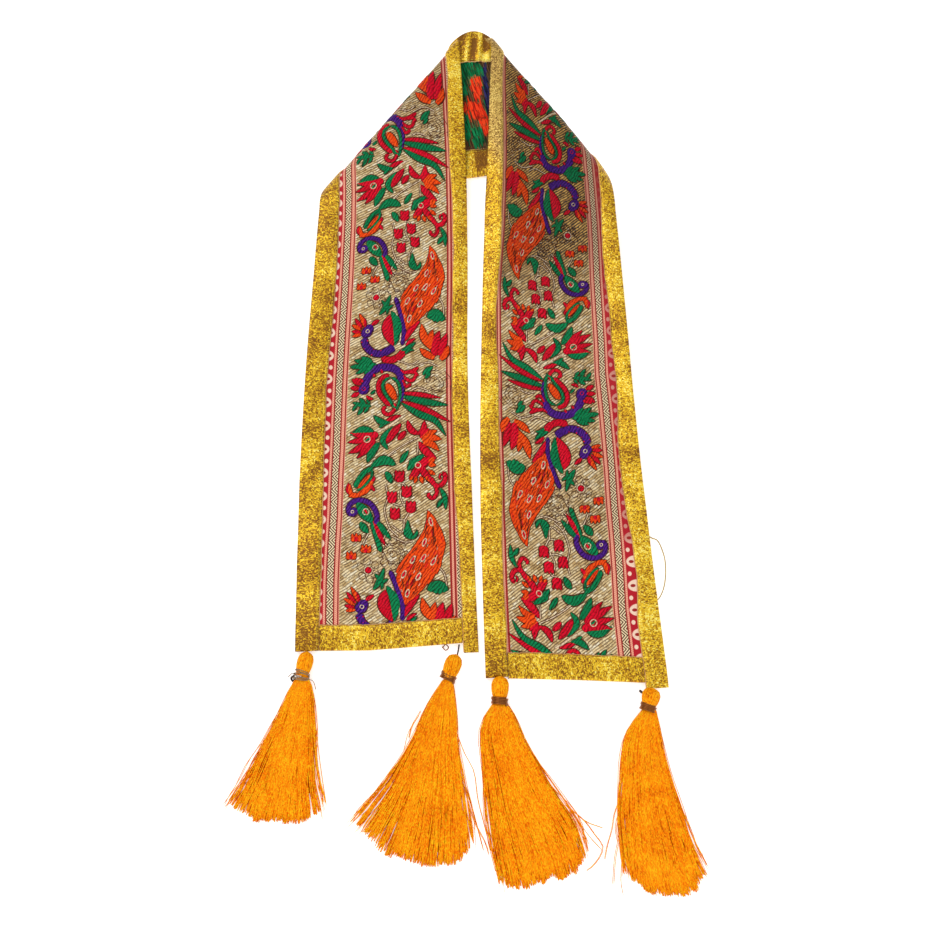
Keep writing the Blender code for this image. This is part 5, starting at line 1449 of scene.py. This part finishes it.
def skirt(i):
    rng = np.random.default_rng(100 + i)
    tx, ty, nx, ny, wide, wrap = HEADS[i]
    left, right = catmull(LEFT_EDGE[i], 40), catmull(RIGHT_EDGE[i], 40)
    tips = catmull(TIPS[i], 60)
    root = np.array([nx, ny])
    k = 15
    n = STRANDS[i]

    locks = np.linspace(-1.0, 1.0, 19) + rng.uniform(-0.035, 0.035, 19)

    def strand(a, s_end, wander, lift, pull=None):
        """line from the wrap to the tips, a from -1 at the left edge to 1 at the right; the
        strands draw together into locks toward their tips, most at the two sides"""
        t = np.linspace(0, 1, k - 1)
        if pull is None:
            pull = 0.05 + 0.79 * smooth((abs(a) - 0.66) / 0.25)
        lock = locks[int(np.argmin(np.abs(locks - a)))]
        f = np.clip((a + (lock - a) * pull * t ** 2.0 + 1) / 2, -0.06, 1.06)[:, None]
        idx = t * 39
        lo = np.minimum(idx.astype(int), 38)
        fr = (idx - lo)[:, None]
        l = left[lo] * (1 - fr) + left[lo + 1] * fr
        r = right[lo] * (1 - fr) + right[lo + 1] * fr
        p = l * (1 - f) + r * f
        tip = tips[int(np.clip(f[-1, 0], 0, 1) * 59)]
        p = p + (tip - p[-1])[None] * (t ** 1.4)[:, None]
        mid = (left[0] + right[0]) / 2
        p[0] = mid + (p[0] - mid) * 0.86
        p = np.vstack([mid + (root - mid) * 0.35 + (p[0] - mid) * 0.72, p])      # from just under the wrap
        d = p[-1] - p[-2]
        p[-1] = p[-1] + d * (s_end + 0.012 * math.sin(lock * 37.0) - 1.0) * (k - 2)
        along = np.linspace(0, 1, k)
        cross = np.array([-(p[-1] - p[0])[1], (p[-1] - p[0])[0]])
        cross /= np.linalg.norm(cross)
        ph, fq = rng.uniform(0, 6.28), rng.uniform(1.0, 3.4)
        w = wander * along * (np.sin(along * fq * 3.1 + ph) + 0.35 * np.sin(along * 19 + ph * 2))
        p = p + cross * w[:, None]
        high = np.interp(along, [r[0] for r in SKIRT_HIGH], [r[1] for r in SKIRT_HIGH])
        high = high * np.interp(along, [0.0, 0.03, 0.12], [0.80, 0.86, 1.0])
        arc = math.sqrt(max(0.0, 1 - (abs(a) ** 2.6)))
        z = high / 2 + lift * high / 2 * (0.25 + 0.75 * arc)
        z = np.maximum(z + 0.12 * np.sin(along * 11 + ph), 0.32)
        return np.concatenate([p, z[:, None]], -1)

    lines, each, radius = [], [], []
    for q in range(n):
        a = np.clip(math.sin(rng.uniform(-math.pi / 2, math.pi / 2)) * 0.35 + rng.uniform(-1, 1) * 0.65, -1, 1)
        lift = rng.uniform(-0.9, 1.0) if q % 3 == 0 else rng.uniform(0.55, 1.0)
        lines.append(strand(a, 1.0 + rng.uniform(-0.03, 0.0), 0.8, lift))
        # strands lying higher get a lighter colour: painted light on the top of the skirt, painted shade below; the
        # rest is random
        each.append(np.clip(rng.normal(0.52 + 0.2 * (lift - 0.6), 0.24), 0, 1))
        radius.append(rng.uniform(0.34, 0.50))
    for points in STRAYS[i]:
        for twin in range(2):
            line = catmull(points, k) + rng.uniform(-0.5, 0.5, 2)
            high = 1.8 * np.clip(1 - np.linspace(0, 1, k) * 1.2, 0, 1) + 0.4
            lines.append(np.concatenate([line, high[:, None]], -1))
            each.append(rng.uniform(0.0, 0.5))
            radius.append(0.2)
    strays = {1: 16, 2: 26, 3: 20, 4: 22}[i]
    for q in range(strays):
        sgn = -1 if rng.random() < (0.75 if i == 4 else 0.5 if i == 3 else 0.6) else 1
        a = sgn * rng.uniform(0.8, 1.0)
        lines.append(strand(a + sgn * rng.uniform(0.0, 0.10), 1.0 + rng.uniform(-0.1, 0.05), rng.uniform(0.8, 2.0), rng.uniform(-0.8, 0.3)))
        each.append(rng.uniform(0.1, 0.7))
        radius.append(0.2)
    lines = np.array(lines)
    taper = np.concatenate([np.ones(k - 1), [0.6]])
    rad = np.array(radius)[:, None] * taper[None, :]
    verts, faces = tubes(lines, rad, 3)
    thread = np.stack([np.repeat(each, k * 3), np.tile(np.repeat(np.linspace(0, 1, k), 3), len(lines))], -1)
    tone = np.zeros((len(verts), 2))
    depth = verts[:, 2]
    # full body under the strands
    rows = []
    for t in np.linspace(0.0, 0.9, 18):
        l, r = left[int(t * 39)], right[int(t * 39)]
        tipshift = np.array([0.0, 0.0])
        c, h = (l + r) / 2 + tipshift, (r - l) / 2 * (0.84 if t < 0.05 else 0.90 - 0.16 * t)
        high = np.interp(t, [r_[0] for r_ in SKIRT_HIGH], [r_[1] for r_ in SKIRT_HIGH]) * 0.90
        a = 2 * math.pi * (np.arange(20) + 0.5) / 20
        ring = np.stack([c[0] + h[0] * np.cos(a), c[1] + h[1] * np.cos(a), 0.25 + high / 2 * (1 + np.sin(a))], -1)
        rows.append(ring)
    body = np.array(rows)
    q = body.shape[1]
    bf = np.concatenate([grid_quads(len(rows), q, 0, False, True), np.array(cap(0, q)), np.array(cap((len(rows) - 1) * q, q))]) + len(verts)
    # the body under the strands is drawn a deeper orange: painted shade between the strands
    bt = np.zeros((body.shape[0] * q, 2)) + 0.25
    verts = np.vstack([verts, body.reshape(-1, 3)])
    faces = np.concatenate([faces, bf])
    thread = np.vstack([thread, bt])
    tone = np.vstack([tone, np.full((len(bt), 2), 0.5)])
    ob = link("skirt_%d" % i, verts, faces, [M_SKIRT], [("thread", thread), ("tone", tone)])
    place(ob, "orange_silk", "tassel_%d_skirt" % i)
    return ob


def head(i):
    """wound head: threads from the crown over the ball and into the wrap"""
    rng = np.random.default_rng(200 + i)
    tx, ty, nx, ny, wide, wrap = HEADS[i]
    a, b = np.array([tx, ty]), np.array([nx, ny])
    length = np.linalg.norm(b - a)
    ax = (b - a) / length
    cx = np.array([-ax[1], ax[0]])
    form_t = [0.0, 0.06, 0.16, 0.36, 0.64, 0.86, 1.0, 1.12]
    form_w = [0.10, 0.46, 0.80, 1.0, 0.98, 0.86, 0.74, 0.66]
    t = np.linspace(0.0, 1.1, 15)
    w = np.interp(t, form_t, form_w) * wide / 2 * 0.93
    lines, each = [], []
    for q in range(46):
        ph = 2 * math.pi * (q + rng.uniform(-0.3, 0.3)) / 46
        twist = ph + 0.25 * np.sin(t * 2.0 + i) + rng.normal(0, 0.02)
        xy = a[None] + ax[None] * (t * length)[:, None] + cx[None] * (w * np.cos(twist))[:, None]
        z = wide * 0.86 / 2 + w * 0.86 * np.sin(twist)
        lines.append(np.concatenate([xy, np.maximum(z, 0.35)[:, None]], -1))
        each.append(rng.random())
    lines = np.array(lines)
    verts, faces = tubes(lines, np.full(lines.shape[:2], 0.42) * np.interp(t, [0, 0.1, 1.1], [0.5, 1.0, 0.9])[None], 5)
    thread = np.stack([np.repeat(each, 15 * 5), np.tile(np.repeat(t * 0.12, 5), 46)], -1)
    rows = []
    for tt, ww in zip(t, w * 0.93):
        an = 2 * math.pi * (np.arange(20) + 0.5) / 20
        c = a + ax * tt * length
        rows.append(np.stack([c[0] + cx[0] * ww * np.cos(an), c[1] + cx[1] * ww * np.cos(an),
                              wide * 0.86 / 2 + ww * 0.86 * np.sin(an)], -1))
    body = np.array(rows)
    bf = np.concatenate([grid_quads(15, 20, 0, False, True), np.array(cap(0, 20)), np.array(cap(280, 20))]) + len(verts)
    # the core of the head is drawn a deeper orange: painted shade
    thread = np.vstack([thread, np.full((300, 2), 0.15)])
    verts = np.vstack([verts, body.reshape(-1, 3)])
    tone = np.zeros((len(verts), 2))
    tone[-300:] = 0.35
    ob = link("head_%d" % i, verts, np.concatenate([faces, bf]), [M_HEAD], [("thread", thread), ("tone", tone)])
    place(ob, "orange_silk", "tassel_%d_head" % i)
    # wire wound round the neck, a little uneven
    x1 = np.array([(LEFT_EDGE[i][0][0] + RIGHT_EDGE[i][0][0]) / 2, (LEFT_EDGE[i][0][1] + RIGHT_EDGE[i][0][1]) / 2])
    run, back = 4.0, {1: 0.9, 2: 1.6, 3: 0.3, 4: 0.3}[i]
    turns = 5 if i != 1 else 8
    s = np.linspace(0, 1, turns * 22)
    an = s * turns * 2 * math.pi + 0.7
    ww = wrap / 2 * {1: 1.04, 2: 1.14, 3: 0.97, 4: 0.97}[i] + 0.2 * np.sin(s * 9)
    slip = 0.35 if i != 1 else 1.0
    dd = s * run + slip * np.sin(an * (1.0 if i != 1 else 0.83) + 1.0) - back
    if i == 1:
        dd = run * (0.5 + 0.5 * np.sin(s * 8.3)) * 0.9 + slip * np.sin(an * 0.83 + 1.0) - back
    xy = b[None] + ax[None] * dd[:, None] + cx[None] * (ww * np.cos(an))[:, None]
    z = wrap * 0.84 / 2 + 0.3 + ww * 0.84 * np.sin(an)
    coil = np.concatenate([xy, np.maximum(z, 0.5)[:, None]], -1)[None]
    v2, f2 = tubes(coil, np.full((1, len(s)), 0.46 if i != 1 else 0.26), 6)
    metal = M_SILVER if i == 1 else M_BRONZE
    ob = link("wire_%d" % i, v2, f2, [metal])
    place(ob, "bronze_wire", "tassel_%d_wrap" % i)


def strand_piece(name, pts, radius, mat, slot_name, n=40, sides=6):
    line = catmull(pts, n)
    v, f = tubes(line[None], np.full((1, n), radius), sides)
    f = np.concatenate([f, np.array(cap(0, sides)), np.array(cap((n - 1) * sides, sides))])
    ob = link(name, v, f, [mat])
    return place(ob, slot_name), line


# ------------------------------------------------------------------ loose thread
LOOP = [(103.0, -39.0, 1.6), (104.6, -39.9, 1.9), (108.1, -41.8, 1.5), (111.2, -50.0, 0.6), (111.8, -57.0, 0.5),
        (111.3, -63.5, 0.6), (109.8, -69.5, 1.1), (107.6, -74.0, 1.7), (106.2, -75.6, 1.7)]
loop_ob, loop_line = strand_piece("loose_thread", LOOP, 0.38, M_THREAD, "gold_ribbon", 60)
loop_path = metres(loop_line)
[float(x) for x in loop_path[0]]
[[float(x) for x in p] for p in loop_path]

left_cloth, right_cloth, neck_piece = leg_cloth(LEFT), leg_cloth(RIGHT), neck_cloth()
left_pattern, right_pattern = raised_pattern(LEFT), raised_pattern(RIGHT)
back_floats = neck_floats()
left_bands, right_bands, neck_bands = leg_ribbons(LEFT), leg_ribbons(RIGHT), neck_ribbons()
skirts = [skirt(i) for i in STRANDS]
for i in HEADS:
    head(i)

# thread ends at the hems
strand_piece("thread_2", [(-7.6, -101.0, 1.6), (-8.0, -104.0, 2.0), (-8.6, -107.2, 3.2)], 0.5, M_DARK, "orange_silk", 12)
strand_piece("curl_2", [(-17.2, -102.2, 0.9), (-15.2, -104.2, 1.1), (-13.6, -102.6, 1.4), (-15.4, -101.0, 1.2), (-17.0, -103.0, 0.6)], 0.35, M_BRONZE, "bronze_wire", 24)
strand_piece("knot_1", [(-100.2, -118.2, 1.4), (-102.0, -119.6, 1.6), (-101.0, -121.4, 1.0), (-99.6, -119.8, 1.9)], 0.6, M_DARK, "bronze_wire", 16)
strand_piece("tail_1a", [(-97.6, -120.0, 3.0), (-101.0, -117.0, 1.8), (-104.0, -119.0, 0.6)], 0.22, M_SILVER, "bronze_wire", 20)
strand_piece("tail_1b", [(-94.0, -119.8, 4.0), (-89.6, -121.4, 2.4), (-88.0, -126.0, 0.6)], 0.22, M_SILVER, "bronze_wire", 20)
strand_piece("end_4", [(93.6, -126.4, 1.2), (95.8, -127.9, 1.5), (98.2, -128.2, 1.5)], 0.75, M_DARK, "gold_ribbon", 14)

for name, w, piece, more in (("left", 0.358, left_cloth, [left_pattern] + left_bands),
                             ("right", 0.387, right_cloth, [right_pattern] + right_bands)):
    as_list(more)

# ------------------------------------------------------------------ stage
floor_mat = Shade("paper_floor")
tc = floor_mat.t.nodes.new("ShaderNodeTexCoord")
fibre = floor_mat.noise(tc.outputs["Object"], 260.0, 2.0)
floor_mat.set(Base_Color=floor_mat.mix(fibre, (0.93, 0.93, 0.93), (0.96, 0.96, 0.96)), Roughness=0.9, Specular_IOR_Level=0.1,
              Emission_Color=(1.0, 1.0, 1.0), Emission_Strength=0.5)
me = bpy.data.meshes.new("floor")
me.from_pydata([(-6, -6, -0.0002), (6, -6, -0.0002), (6, 6, -0.0002), (-6, 6, -0.0002)], [], [(0, 1, 2, 3)])
me.materials.append(floor_mat.mat)
floor = bpy.data.objects.new("floor", me)
bpy.context.scene.collection.objects.link(floor)


def area(name, place_, aim, size, power, colour=(1, 1, 1)):
    d = bpy.data.lights.new(name, "AREA")
    d.shape = "RECTANGLE"
    d.size, d.size_y = size
    d.energy = power
    d.color = colour
    o = bpy.data.objects.new(name, d)
    bpy.context.scene.collection.objects.link(o)
    o.location = place_
    v = np.array(aim, float) - np.array(place_, float)
    v /= np.linalg.norm(v)
    o.rotation_euler = (math.acos(max(-1.0, min(1.0, -v[2]))), 0.0, math.atan2(-v[0], v[1]))
    return o


area("key", (-0.55, 0.55, 1.15), (0, 0, 0), (0.9, 0.9), 10.4, (1.0, 0.98, 0.95))
area("fill", (0.9, -0.5, 0.9), (0, 0, 0), (1.2, 1.2), 3.6, (0.96, 0.98, 1.0))
area("front", (0.0, -0.85, 0.62), (0, -0.24, 0), (1.0, 0.4), 2.8, (1.0, 0.98, 0.95))
world = bpy.data.worlds.new("world")
bpy.context.scene.world = world
world.use_nodes = True
bg = world.node_tree.nodes["Background"]
bg.inputs["Color"].default_value = (1.0, 1.0, 1.0, 1.0)
bg.inputs["Strength"].default_value = 0.46
bpy.context.scene.view_settings.view_transform = "Standard"
